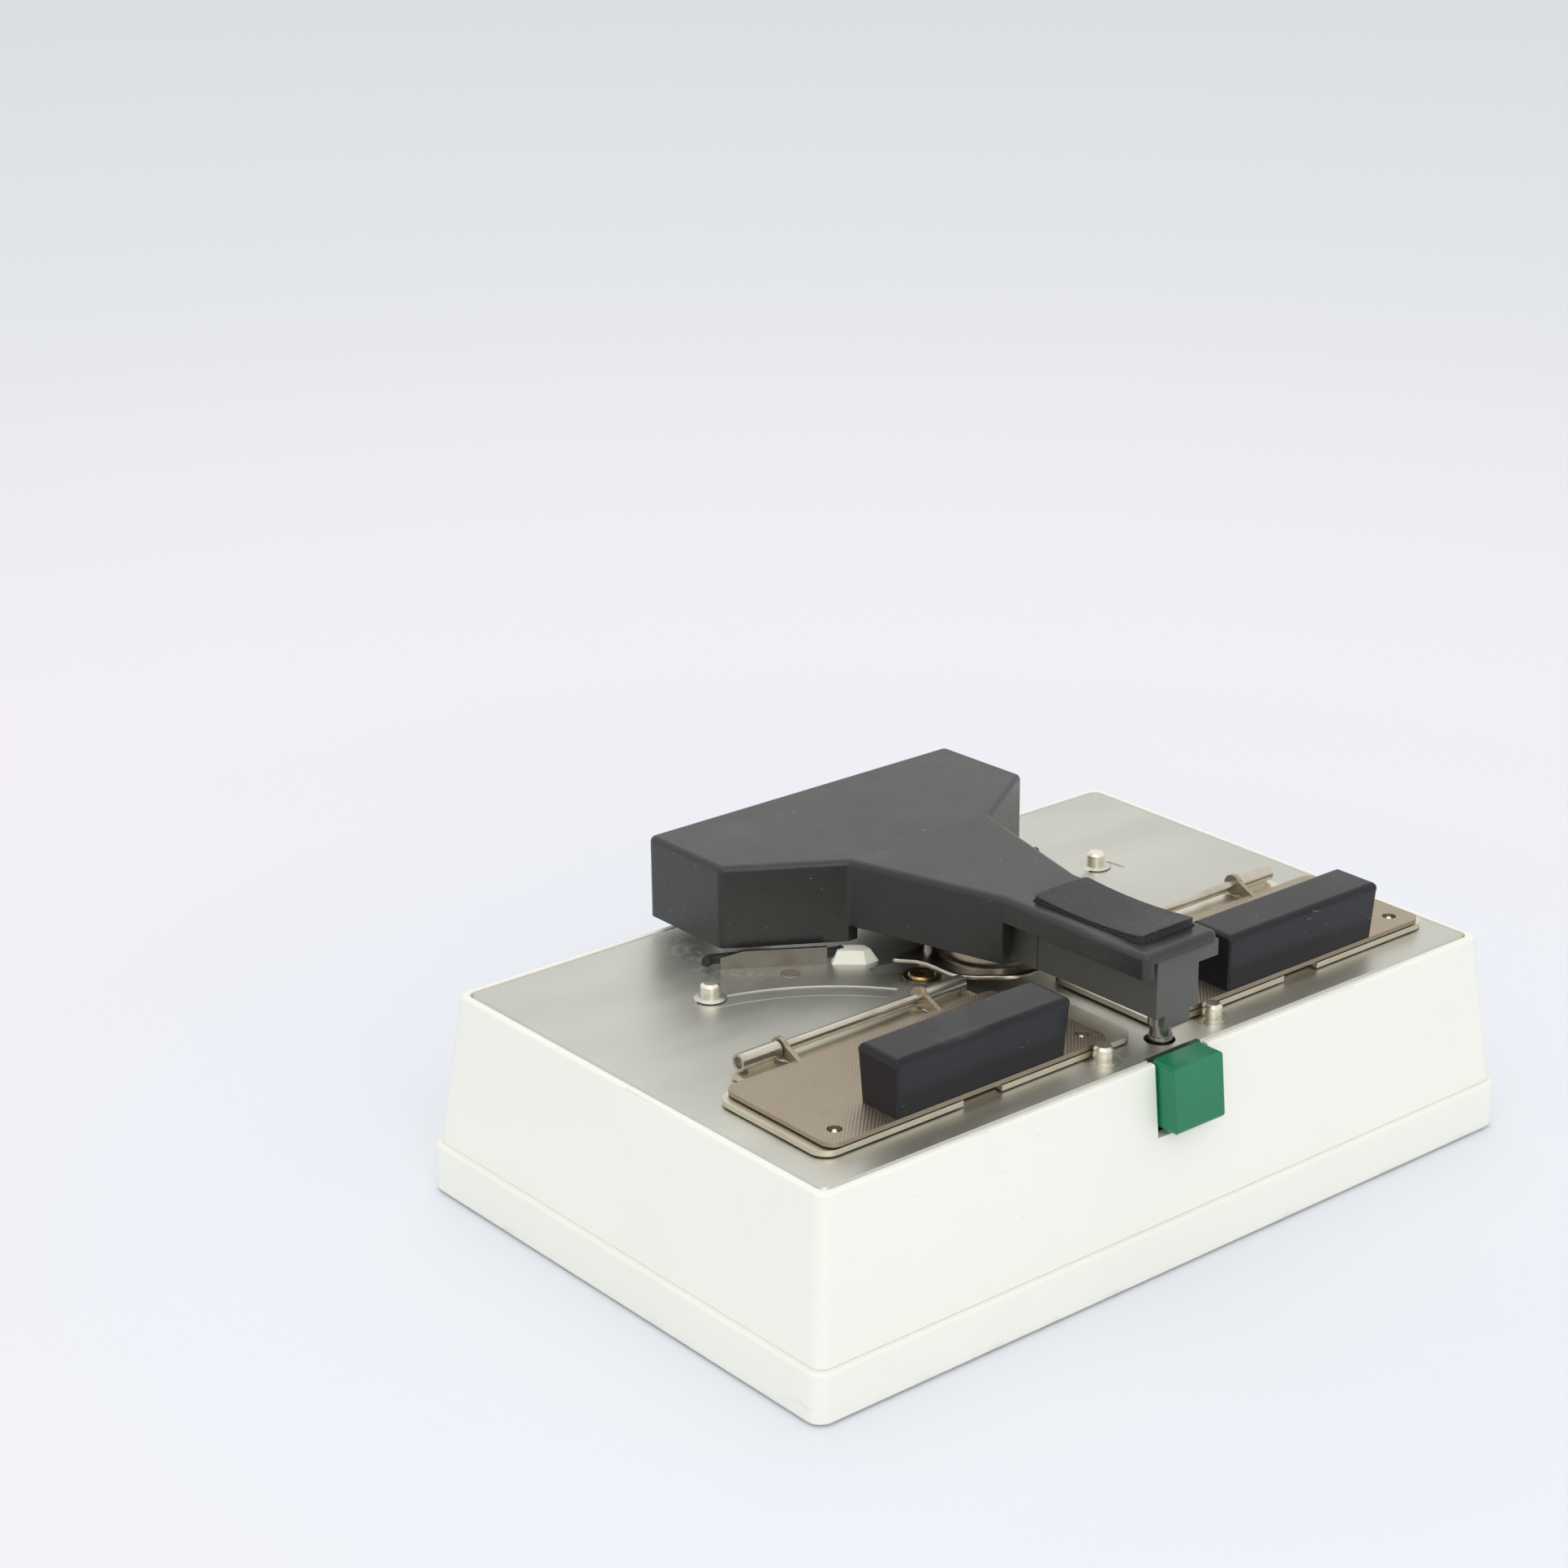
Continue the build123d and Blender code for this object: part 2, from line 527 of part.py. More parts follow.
def upper_plate():
    outline = Polygon((-75.6, PLATE_FRONT), (-8.0, PLATE_FRONT), (-8.0, -27.0), (-9.6, -24.0),
                      (-9.6, PLATE_BACK), (-75.6, PLATE_BACK), align=None)
    corners = [v for v in outline.vertices() if not -30 < v.Y < -20]
    outline = fillet(corners, 2.7)
    plate = raised(outline, UPPER_BOTTOM, UPPER_TOP)
    for x0, x1 in EAR_SPANS:
        web = Polygon((PLATE_BACK - 3, UPPER_BOTTOM), (ROD_Y, UPPER_BOTTOM), (ROD_Y, ROD_Z + EAR_RADIUS),
                      (ROD_Y - 1.2, ROD_Z + 1.4), (PLATE_BACK - 1, UPPER_TOP), (PLATE_BACK - 3, UPPER_TOP),
                      align=None)
        plate += drawn_across(web, x0, x1)
        plate += bar(x0, x1, ROD_Y, ROD_Z, EAR_RADIUS)
        plate -= bar(x0 - 0.1, x1 + 0.1, ROD_Y, ROD_Z, ROD_RADIUS)
    for x, y in REGISTER_HOLES:
        plate -= post(x, y, 1.4, 43, 45)
    for x in HANDLE_SCREW_X:
        plate -= post(x, (HANDLE_FRONT + HANDLE_BACK) / 2, 1.0, 43, 45)
        plate -= post(x, (HANDLE_FRONT + HANDLE_BACK) / 2, 1.9, 43, UPPER_BOTTOM + 0.45)
    return plate


def hinge_rod():
    return bar(SLEEVE_SPANS[0][0] + 1.2, SLEEVE_SPANS[1][1] - 1.2, ROD_Y, ROD_Z, ROD_RADIUS)


def handle():
    """Hollow moulded grip, a little wider at the top than at the foot."""
    middle = Pos((HANDLE_LEFT + HANDLE_RIGHT) / 2, (HANDLE_FRONT + HANDLE_BACK) / 2, 0)
    length, depth = HANDLE_RIGHT - HANDLE_LEFT, HANDLE_BACK - HANDLE_FRONT
    parting = HANDLE_TOP - 1.5
    low = middle * Pos(0, 0, UPPER_TOP) * RectangleRounded(length, depth, 0.7)
    high = middle * Pos(0, 0, parting) * RectangleRounded(length + 2 * HANDLE_FLARE, depth + 2 * HANDLE_FLARE, 0.7)
    grip = loft([low, high])
    cap = middle * Pos(0, 0, parting) * RectangleRounded(
        length + 2 * HANDLE_FLARE + 0.16, depth + 2 * HANDLE_FLARE + 0.16, 0.78)
    cap = extrude(cap, 1.5)
    grip += fillet(cap.edges().group_by(Axis.Z)[-1], 1.2)
    hollow = middle * Pos(0, 0, UPPER_TOP) * RectangleRounded(length - 3.4, depth - 3.4, 0.7)
    grip -= extrude(hollow, 9.0)
    for x in HANDLE_SCREW_X:
        y = (HANDLE_FRONT + HANDLE_BACK) / 2
        grip += post(x, y, 2.6, UPPER_TOP, 54.0)
        grip -= post(x, y, 1.0, UPPER_TOP - 1, 50.0)
    return grip


def handle_screws():
    screws = []
    for x in HANDLE_SCREW_X:
        y = (HANDLE_FRONT + HANDLE_BACK) / 2
        screw = post(x, y, 1.9, UPPER_BOTTOM, UPPER_BOTTOM + 0.45)
        screws.append(screw + post(x, y, 1.0, UPPER_BOTTOM, 49.5))
    return Compound(children=screws)


# ---------------------------------------------------------------- head

def head_cover():
    outline = fillet(head_outline().vertices(), 1.5)
    cover = raised(outline, WING_SKIRT, HEAD_TOP)
    cover = fillet(cover.edges().group_by(Axis.Z)[-1], 1.2)
    inner = fillet(head_outline(HEAD_WALL).vertices(), 0.6)
    cover -= raised(inner, WING_SKIRT - 1, HEAD_ROOF)
    # The skirt gets shallower towards the front
    cover -= block(-60, 60, -60, WING_FRONT, WING_SKIRT - 1, SIDE_SKIRT)
    cover -= block(-60, 60, -60, SIDE_FRONT, WING_SKIRT - 1, ARM_SKIRT)
    # Rear wall is open round the hinge bracket
    cover -= block(MECH_X - 24, MECH_X + 24, 52.0, 60, WING_SKIRT - 1, 58.6)
    # Front wall is open in front of the inner block
    cover -= block(MECH_X - 7.4, MECH_X + 12, ARM_FRONT - 1, ARM_FRONT + 2.6, ARM_SKIRT - 1, HEAD_ROOF)
    # Seat of the thumb pad
    cover -= slab([(THUMB_X - 7.3, -47.8), (THUMB_X + 7.3, -47.8), (THUMB_X + 7.3, -19.2), (THUMB_X - 7.3, -19.2)],
                  HEAD_TOP - 0.4, HEAD_TOP + 1, 1.0)
    for x, y in HEAD_SCREWS:
        cover += post(x, y, 2.9, CHASSIS_TOP, HEAD_ROOF + 0.2)
    cover += post(MECH_X, -30, 2.9, 58.8, HEAD_ROOF + 0.2)
    for x, y in HEAD_SCREWS + ((MECH_X, -30),):
        cover -= post(x, y, 1.25, CHASSIS_TOP - 1, HEAD_SCREW_TIP)
    return tilted(cover)


def chassis_outline():
    half = [(19.0, 50.5), (19.0, 39.5), (36.4, 39.5), (36.8, 33.9), (16.6, 20.9), (7.4, -12.0), (5.6, -12.0)]
    right = [(MECH_X + dx, y) for dx, y in half]
    left = [(MECH_X - dx, y) for dx, y in reversed(half)]
    return right + left


def head_chassis():
    chassis = slab(chassis_outline(), CHASSIS_BOTTOM, CHASSIS_TOP)
    chassis += block(MECH_X - ARM_BLOCK_HALF, MECH_X + ARM_BLOCK_HALF, ARM_BLOCK_FRONT, -20, ARM_BLOCK_BOTTOM, 58.8)
    chassis += block(MECH_X - 5.65, MECH_X + 5.65, -20, ARM_BLOCK_BACK, ARM_BLOCK_BOTTOM, 58.8)
    # Flange that closes the open front of the cover, and a tongue in front of the plunger
    chassis += block(MECH_X, 12.3, ARM_BLOCK_FRONT, -49.6, 55.9, 59.1)
    chassis += block(-1.4, 5.3, ARM_BLOCK_FRONT, -49.4, 44.9, ARM_BLOCK_BOTTOM)
    for side in (-1, 1):
        x0, x1 = sorted((MECH_X + side * 13.0, MECH_X + side * 19.3))
        chassis += bar(x0, x1, HINGE_Y, HINGE_Z, 3.2)
        chassis += block(x0, x1, HINGE_Y - 3.2, HINGE_Y + 2.5, HINGE_Z, CHASSIS_TOP)
        chassis -= bar(x0 - 1, x1 + 1, HINGE_Y, HINGE_Z, HINGE_PIN_RADIUS + RUNNING)
    for x, y in HEAD_SCREWS:
        chassis -= post(x, y, 1.4, 55, 60)
    chassis -= post(MECH_X, -30, 2.7, 47, 54.5)
    chassis -= post(MECH_X, -30, 1.4, 47, 60)
    chassis -= post(MECH_X, SPINDLE_Y, 3.5, 55, 60)
    chassis -= post(MECH_X, IDLER_Y, 1.5, 55, 60)
    chassis -= post(*PLUNGER, 2.48, 44, 50.4)
    return tilted(chassis)


def thumb_pad():
    """Rubber pad with a saddle-shaped top."""
    front, back = -47.5, -19.5
    low = HEAD_TOP - 0.4
    edges = [Line((front, low), (back, low)), Line((back, low), (back, HEAD_TOP + 1.3)),
             ThreePointArc((back, HEAD_TOP + 1.3), (-34.0, HEAD_TOP + 0.6), (front, HEAD_TOP + 1.65)),
             Line((front, HEAD_TOP + 1.65), (front, low))]
    profile = make_face(edges)
    pad = drawn_across(profile, THUMB_X - 7.0, THUMB_X + 7.0)
    pad = fillet(pad.edges().filter_by(Axis.Z), 0.8)
    return tilted(pad)


def plunger():
    x, y = PLUNGER
    rod = post(x, y, 2.45, 43.4, 50.4)
    rod += post(x, y, 2.05, 37.4, 43.4)
    rod = chamfer(rod.edges().group_by(Axis.Z)[0], 0.5)
    rod += post(x, y, 2.35, 40.5, 41.3)
    return tilted(rod)


def head_screws():
    screws = []
    for x, y in HEAD_SCREWS:
        screw = post(x, y, 2.5, CHASSIS_BOTTOM - 1.5, CHASSIS_BOTTOM)
        screws.append(screw + post(x, y, 1.25, CHASSIS_BOTTOM - 1.5, HEAD_SCREW_TIP))
    front = post(MECH_X, -30, 2.5, 52.9, 54.5) + post(MECH_X, -30, 1.25, 54.0, HEAD_SCREW_TIP)
    screws.append(front)
    return Compound(children=[tilted(screw) for screw in screws])


def drive_motor():
    can = post(MECH_X, ROLLER_Y, MOTOR_RADIUS, MOTOR_BOTTOM, MOTOR_TOP)
    can = fillet(can.edges(), 0.8)
    can += post(MECH_X, ROLLER_Y, 2.4, MOTOR_TOP, MOTOR_TOP + 0.5)
    can -= post(MECH_X, ROLLER_Y, 1.0 + RUNNING, 48.0, MOTOR_TOP + 1)
    return tilted(can)


def motor_posts():
    posts = [post(MECH_X + dx, ROLLER_Y + 4.5, 1.5, MOTOR_TOP, CHASSIS_BOTTOM) for dx in (-5.5, 5.5)]
    return Compound(children=[tilted(piece) for piece in posts])


def spindle_bearing():
    bearing = post(MECH_X, SPINDLE_Y, 3.5, CHASSIS_BOTTOM, 59.0)
    bearing += post(MECH_X, SPINDLE_Y, 4.6, CHASSIS_TOP, 58.7)
    return tilted(bearing - post(MECH_X, SPINDLE_Y, 2.0 + RUNNING, 55, 60))


def idler_stud():
    stud = post(MECH_X, IDLER_Y, 1.5, 52.95, CHASSIS_TOP)
    stud += post(MECH_X, IDLER_Y, 2.4, 52.95, WHEEL_BOTTOM - 0.2)
    return tilted(stud)


def guard_outline(inset=0.0):
    """Outer edge of the guard, from its reach at angles about the spindle, the same on both sides."""
    half = []
    for angle, reach in GUARD_REACH:
        turn = radians(angle)
        half.append(((reach - inset) * cos(turn), SPINDLE_Y + (reach - inset) * sin(turn)))
    left = [(MECH_X + dx, y) for dx, y in half]
    right = [(MECH_X - dx, y) for dx, y in reversed(half[1:-1])]
    return left + right


def leaf_guard():
    """Thin steel guard round the grinding disc, its rim bent down, on two stems."""
    guard = slab(guard_outline(), GUARD_TOP - GUARD_RIM, GUARD_TOP)
    guard -= slab(guard_outline(0.6), GUARD_TOP - GUARD_RIM - 1, GUARD_TOP - 0.3)
    guard -= post(MECH_X, SPINDLE_Y, GUARD_BORE, GUARD_TOP - 2, GUARD_TOP + 1)
    for dx in (-10.9, 10.9):
        guard += post(MECH_X + dx, 4.5, 0.9, GUARD_TOP - 0.3, CHASSIS_BOTTOM)
    return tilted(guard)


def disc_spindle():
    return tilted(post(MECH_X, SPINDLE_Y, 2.0, 44.9, 58.6))


def grinding_disc():
    disc = post(MECH_X, SPINDLE_Y, DISC_RADIUS, DISC_BOTTOM, DISC_TOP)
    disc += post(MECH_X, SPINDLE_Y, 7.4, DISC_TOP, DISC_TOP + 1.3)
    return tilted(disc - post(MECH_X, SPINDLE_Y, 2.0, 44.9, 50))


def friction_wheel():
    wheel = post(MECH_X, SPINDLE_Y, SPINDLE_WHEEL_RADIUS, WHEEL_BOTTOM, WHEEL_TOP)
    wheel += post(MECH_X, SPINDLE_Y, 3.6, WHEEL_BOTTOM - 1.2, WHEEL_TOP + 0.5)
    return tilted(wheel - post(MECH_X, SPINDLE_Y, 2.0, 50, 58))


def idler_wheel():
    wheel = post(MECH_X, IDLER_Y, IDLER_RADIUS, WHEEL_BOTTOM, WHEEL_TOP)
    return tilted(wheel - post(MECH_X, IDLER_Y, 1.5 + RUNNING, 50, 58))


def motor_roller():
    roller = post(MECH_X, ROLLER_Y, ROLLER_RADIUS, WHEEL_BOTTOM, WHEEL_TOP)
    return tilted(roller + post(MECH_X, ROLLER_Y, 1.0, 48.6, 56.2))


PIECES = {
    "base_pan": base_pan,
    "upper_case": upper_case,
    "deck_plate": deck_plate,
    "stop_pins": stop_pins,
    "holder_pivot_studs": holder_pivot_studs,
    "mechanism_plate": mechanism_plate,
    "deck_rivets": deck_rivets,
    "drive_bushes": drive_bushes,
    "bush_washers": bush_washers,
    "head_hinge_bracket": head_hinge_bracket,
    "bracket_screws": bracket_screws,
    "head_hinge_pin": head_hinge_pin,
    "rubber_feet": rubber_feet,
    "case_screws": case_screws,
    "battery_tray": battery_tray,
    "battery_cells": battery_cells,
    "battery_contacts": battery_contacts,
    "battery_door": battery_door,
    "switch_bracket": switch_bracket,
    "micro_switch": micro_switch,
    "switch_button": switch_button,
    "latch_guide": latch_guide,
    "green_key": green_key,
    "latch_plate": latch_plate,
    "head_cover": head_cover,
    "head_chassis": head_chassis,
    "thumb_pad": thumb_pad,
    "plunger": plunger,
    "head_screws": head_screws,
    "drive_motor": drive_motor,
    "motor_posts": motor_posts,
    "spindle_bearing": spindle_bearing,
    "idler_stud": idler_stud,
    "leaf_guard": leaf_guard,
    "disc_spindle": disc_spindle,
    "grinding_disc": grinding_disc,
    "friction_wheel": friction_wheel,
    "idler_wheel": idler_wheel,
    "motor_roller": motor_roller,
}

# Pieces that come as a left and a right one
PAIRED_PIECES = {
    "guide_wall": guide_wall,
    "film_wedge": film_wedge,
    "lower_plate": lower_plate,
    "hinge_sleeves": hinge_sleeves,
    "register_pins": register_pins,
    "upper_plate": upper_plate,
    "hinge_rod": hinge_rod,
    "handle": handle,
    "handle_screws": handle_screws,
}


def save(shape, node):
    export_step(shape, f"parts/{node}.step")


def main():
    os.makedirs("parts", exist_ok=True)
    for node, build in PIECES.items():
        save(build(), node)
    for name, build in PAIRED_PIECES.items():
        left = build()
        save(left, f"left_{name}")
        save(mirrored(left), f"right_{name}")


if __name__ == "__main__":
    main()
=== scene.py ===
import logging
import math
from dataclasses import dataclass, field
from enum import Enum
from typing import Any, Mapping, Sequence

import bmesh
import bpy
import numpy as np
from mathutils import Matrix


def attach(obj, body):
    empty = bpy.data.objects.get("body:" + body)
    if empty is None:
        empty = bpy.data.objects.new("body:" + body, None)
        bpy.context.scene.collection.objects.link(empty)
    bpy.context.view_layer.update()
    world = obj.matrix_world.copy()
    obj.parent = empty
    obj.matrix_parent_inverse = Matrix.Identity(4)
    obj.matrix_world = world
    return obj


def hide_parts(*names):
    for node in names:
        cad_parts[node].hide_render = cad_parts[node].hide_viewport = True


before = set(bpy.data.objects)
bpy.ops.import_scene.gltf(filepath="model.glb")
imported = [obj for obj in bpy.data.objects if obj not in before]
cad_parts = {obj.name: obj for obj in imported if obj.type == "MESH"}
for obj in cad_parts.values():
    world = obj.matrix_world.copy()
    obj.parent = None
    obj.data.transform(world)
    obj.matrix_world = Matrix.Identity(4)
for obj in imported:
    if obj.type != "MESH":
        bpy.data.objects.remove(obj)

LOG = logging.getLogger("splicer")
Colour = tuple[float, float, float]
Profile = tuple[tuple[float, ...], ...]

# Lengths are in millimetres unless a comment or a docstring says metres.
MM = 0.001  # metres
MECH_X = 1.8  # centre line of the head, the holders and the key
SPINDLE_Y = -1.0  # spindle of the grinding disc
HINGE_Y, HINGE_Z = 48.0, 55.0  # hinge of the head
HEAD_TILT = math.radians(0.76)  # lean of the head at rest
PIVOT_REACH, PIVOT_Y = 62.5, -29.5  # a holder's pivot: distance from the centre line, and y
SMOOTH_BELOW = math.radians(40)  # faces that meet at less than this are shaded as one surface
WELD = 1e-7  # metres between points that are merged


class Side(Enum):
    """The two film holders and what belongs to them."""

    LEFT = "left"
    RIGHT = "right"

    def node(self, piece: str) -> str:
        """Name of this side's CAD node."""
        return f"{self.value}_{piece}"

    def across(self, points: np.ndarray) -> np.ndarray:
        """Points drawn for the left side, moved to this side.

        Args:
            points: Array whose last axis is x, y, z in millimetres.

        Returns:
            The same points, mirrored about the mechanism's centre line for the right side.
        """
        if self is Side.LEFT:
            return points
        moved = points.copy()
        moved[..., 0] = 2 * MECH_X - moved[..., 0]
        return moved


class Along(Enum):
    """Direction of the fine lines in a rolled, drawn or brushed metal."""

    X = (0.03, 1.0, 1.0)
    Y = (1.0, 0.03, 1.0)
    Z = (1.0, 1.0, 0.03)
    ROUND = (0.05, 0.05, 1.0)
    NONE = (1.0, 1.0, 1.0)


# ---------------------------------------------------------------- shader building

@dataclass(frozen=True)
class Number:
    """A number that varies over a surface. Arithmetic on it adds Math nodes."""

    recipe: "Recipe"
    socket: Any

    def _with(self, operation: str, first: Any, second: Any) -> "Number":
        """One Math node on two values."""
        made = self.recipe.node("ShaderNodeMath", {"operation": operation}, {0: first, 1: second})
        return Number(self.recipe, made.outputs[0])

    def __add__(self, other: Any) -> "Number":
        """Sum."""
        return self._with("ADD", self, other)

    def __radd__(self, other: Any) -> "Number":
        """Sum with a plain number on the left."""
        return self._with("ADD", other, self)

    def __sub__(self, other: Any) -> "Number":
        """Difference."""
        return self._with("SUBTRACT", self, other)

    def __rsub__(self, other: Any) -> "Number":
        """Difference with a plain number on the left."""
        return self._with("SUBTRACT", other, self)

    def __mul__(self, other: Any) -> "Number":
        """Product."""
        return self._with("MULTIPLY", self, other)

    def __rmul__(self, other: Any) -> "Number":
        """Product with a plain number on the left."""
        return self._with("MULTIPLY", other, self)

    def __truediv__(self, other: Any) -> "Number":
        """Quotient."""
        return self._with("DIVIDE", self, other)

    def __pow__(self, other: Any) -> "Number":
        """Power."""
        return self._with("POWER", self, other)

    def larger(self, other: Any) -> "Number":
        """The larger of two values."""
        return self._with("MAXIMUM", self, other)

    def smaller(self, other: Any) -> "Number":
        """The smaller of two values."""
        return self._with("MINIMUM", self, other)

    def span(self, low: float, high: float) -> "Number":
        """Smooth step from 0 at low to 1 at high; low may be the larger."""
        made = self.recipe.node(
            "ShaderNodeMapRange", {"interpolation_type": "SMOOTHSTEP", "clamp": True},
            {0: self, 1: low, 2: high, 3: 0.0, 4: 1.0})
        return Number(self.recipe, made.outputs[0])


class Recipe:
    """The node tree of a finish, or of the surroundings, while it is put together."""

    def __init__(self, owner: bpy.types.Material | bpy.types.World) -> None:
        """Empties the owner's node tree.

        Args:
            owner: The material or the world that the nodes belong to.
        """
        owner.use_nodes = True
        self.tree = owner.node_tree
        self.tree.nodes.clear()

    def node(self, kind: str, settings: Mapping[str, Any] | None = None,
             inputs: Mapping[Any, Any] | None = None) -> Any:
        """Adds one node: its settings first, then its input values or links.

        Args:
            kind: Blender's type name of the node.
            settings: Properties of the node.
            inputs: Socket name or number, with a plain value, a Number or an output socket.

        Returns:
            The new node.
        """
        made = self.tree.nodes.new(kind)
        for name, value in (settings or {}).items():
            setattr(made, name, value)
        for key, value in (inputs or {}).items():
            value = value.socket if isinstance(value, Number) else value
            if isinstance(value, bpy.types.NodeSocket):
                self.tree.links.new(value, made.inputs[key])
            elif isinstance(value, tuple) and made.inputs[key].type == "RGBA":
                made.inputs[key].default_value = (*value, 1.0)[:4]
            else:
                made.inputs[key].default_value = value
        return made

    def place(self, stretch: Sequence[float] = (1.0, 1.0, 1.0), turn: float = 0.0,
              shift: Sequence[float] = (0.0, 0.0, 0.0)) -> Any:
        """Object coordinates, shifted in metres, turned about Z and stretched."""
        where = self.node("ShaderNodeTexCoord").outputs["Object"]
        mapped = self.node("ShaderNodeMapping", {}, {
            "Vector": where, "Location": tuple(shift), "Rotation": (0.0, 0.0, turn), "Scale": tuple(stretch)})
        return mapped.outputs["Vector"]

    def axis(self, letter: str) -> Number:
        """One object coordinate in millimetres."""
        where = self.node("ShaderNodeTexCoord").outputs["Object"]
        parts = self.node("ShaderNodeSeparateXYZ", {}, {0: where})
        return Number(self, parts.outputs[letter]) * (1 / MM)

    def facing(self, letter: str) -> Number:
        """Part of the surface normal along an object axis, from -1 to 1."""
        normal = self.node("ShaderNodeTexCoord").outputs["Normal"]
        parts = self.node("ShaderNodeSeparateXYZ", {}, {0: normal})
        return Number(self, parts.outputs[letter])

    def clouds(self, size: float, detail: float = 3.0, where: Any = None, rough: float = 0.5) -> Number:
        """Noise from 0 to 1 whose patches are about size millimetres across."""
        made = self.node("ShaderNodeTexNoise", {"noise_dimensions": "3D"}, {
            "Vector": where or self.place(), "Scale": 1 / (size * MM), "Detail": detail, "Roughness": rough})
        return Number(self, made.outputs[0])

    def cells(self, pitch: float, feature: str = "F1", random: float = 1.0, where: Any = None,
              flat: bool = False) -> tuple[Number, Number]:
        """Distance from cell centres, and a random number for each cell.

        Args:
            pitch: Size of a cell in millimetres.
            feature: F1, SMOOTH_F1 or DISTANCE_TO_EDGE.
            random: 1 for scattered cells, 0 for a square lattice.
            where: Coordinates, object coordinates if left out.
            flat: True for cells in X and Y only.

        Returns:
            The distance in cells and the cell's number, which an edge distance doesn't have.
        """
        made = self.node("ShaderNodeTexVoronoi", {
            "feature": feature, "voronoi_dimensions": "2D" if flat else "3D"}, {
            "Vector": where or self.place(), "Scale": 1 / (pitch * MM), "Randomness": random})
        distance = Number(self, made.outputs["Distance"])
        if feature == "DISTANCE_TO_EDGE":
            return distance, distance
        pick = self.node("ShaderNodeSeparateColor", {}, {0: made.outputs["Color"]})
        return distance, Number(self, pick.outputs[0])

    def specks(self, pitch: float, radius: float, share: float) -> Number:
        """Round specks of that radius in millimetres, in a share of the cells."""
        distance, pick = self.cells(pitch)
        size = radius / pitch
        return distance.span(size, size * 0.55) * pick.span(share + 0.01, share)

    def hairs(self, length: float, turn: float, share: float) -> Number:
        """Thin scratches about length millimetres long, at an angle to X."""
        where = self.place((0.07, 1.0, 1.0), turn)
        line = self.clouds(length * 0.07, 1.0, where)
        patches = self.clouds(length * 2.5, 2.0)
        return line.span(0.745, 0.79) * patches.span(0.66 - share, 0.72 - share)

    def mix(self, share: Any, first: Any, second: Any) -> Any:
        """Colour that goes from first to second as share goes from 0 to 1."""
        made = self.node("ShaderNodeMix", {"data_type": "RGBA"}, {0: share, 6: first, 7: second})
        return made.outputs[2]

    def softened(self, radius: float) -> Any:
        """Normal that rounds sharp edges off by radius millimetres."""
        return self.node("ShaderNodeBevel", {"samples": 4}, {"Radius": radius * MM}).outputs[0]

    def relief(self, height: Number, depth: float, normal: Any = None) -> Any:
        """Normal of a surface raised by height times depth millimetres."""
        inputs: dict[Any, Any] = {"Height": height, "Distance": depth * MM, "Strength": 1.0}
        if normal is not None:
            inputs["Normal"] = normal
        return self.node("ShaderNodeBump", {}, inputs).outputs[0]

    def surface(self, **values: Any) -> None:
        """Ends the recipe with the shader; spaces in socket names are written as underscores."""
        named = {name.replace("_", " "): value for name, value in values.items()}
        shader = self.node("ShaderNodeBsdfPrincipled", {}, named)
        self.node("ShaderNodeOutputMaterial", {}, {"Surface": shader.outputs[0]})


def shade(colour: Colour, factor: float) -> Colour:
    """A colour made lighter or darker."""
    return (colour[0] * factor, colour[1] * factor, colour[2] * factor)


# ---------------------------------------------------------------- finishes

@dataclass(frozen=True)
class Finish:
    """A surface finish. Its material is built once and shared."""

    name: str
    colour: Colour

    def lay(self, recipe: Recipe) -> None:
        """Adds the nodes of the finish."""
        raise NotImplementedError

    def material(self) -> bpy.types.Material:
        """The finish's material, built on first use."""
        found = bpy.data.materials.get(self.name)
        if found is None:
            found = bpy.data.materials.new(self.name)
            self.lay(Recipe(found))
        return found


@dataclass(frozen=True)
class Moulded(Finish):
    """Moulded plastic: cloudy shade, fine grain, soft edges, dust and small scuffs."""

    roughness: float = 0.4
    grain: float = 0.5
    depth: float = 0.008
    top_grain: float = 1.0
    variation: float = 0.06
    edge: float = 0.25
    dust: float = 0.0
    dust_colour: Colour = (0.55, 0.54, 0.5)
    scuffs: float = 0.0
    scuff_colour: Colour = (0.45, 0.44, 0.41)
    shine: float = 0.5

    def lay(self, recipe: Recipe) -> None:
        """Colour from clouds, dust and scuffs; roughness and relief from the grain."""
        broad = recipe.clouds(34.0, 4.0).span(0.3, 0.7)
        colour = recipe.mix(broad, shade(self.colour, 1 - self.variation),
                            shade(self.colour, 1 + self.variation))
        distance, pick = recipe.cells(self.grain, "SMOOTH_F1")
        fine = recipe.clouds(self.grain * 0.45, 2.0)
        level = recipe.facing("Z").span(0.55, 0.9)
        much = 1.0 - level * (1.0 - self.top_grain)
        height = (distance * 0.6 + fine * 0.6) * much
        roughness = self.roughness + (recipe.clouds(9.0, 4.0) - 0.5) * 0.16 + (pick - 0.5) * 0.04
        if self.scuffs:
            marks = recipe.hairs(5.0, 0.7, self.scuffs).larger(recipe.hairs(3.5, -0.4, self.scuffs))
            colour = recipe.mix(marks * 0.5, colour, self.scuff_colour)
            roughness = roughness + marks * 0.15
        if self.dust:
            lint = recipe.specks(2.4, 0.11, self.dust).larger(recipe.specks(4.1, 0.2, self.dust * 0.35))
            film = recipe.clouds(16.0, 5.0).span(0.5, 0.8) * recipe.facing("Z").span(0.3, 0.9)
            colour = recipe.mix((film * 0.06 + lint).smaller(1.0), colour, self.dust_colour)
            roughness = roughness + film * 0.1 + lint * 0.3
        recipe.surface(Base_Color=colour, Roughness=roughness, Specular_IOR_Level=self.shine,
                       Normal=recipe.relief(height, self.depth, recipe.softened(self.edge)))


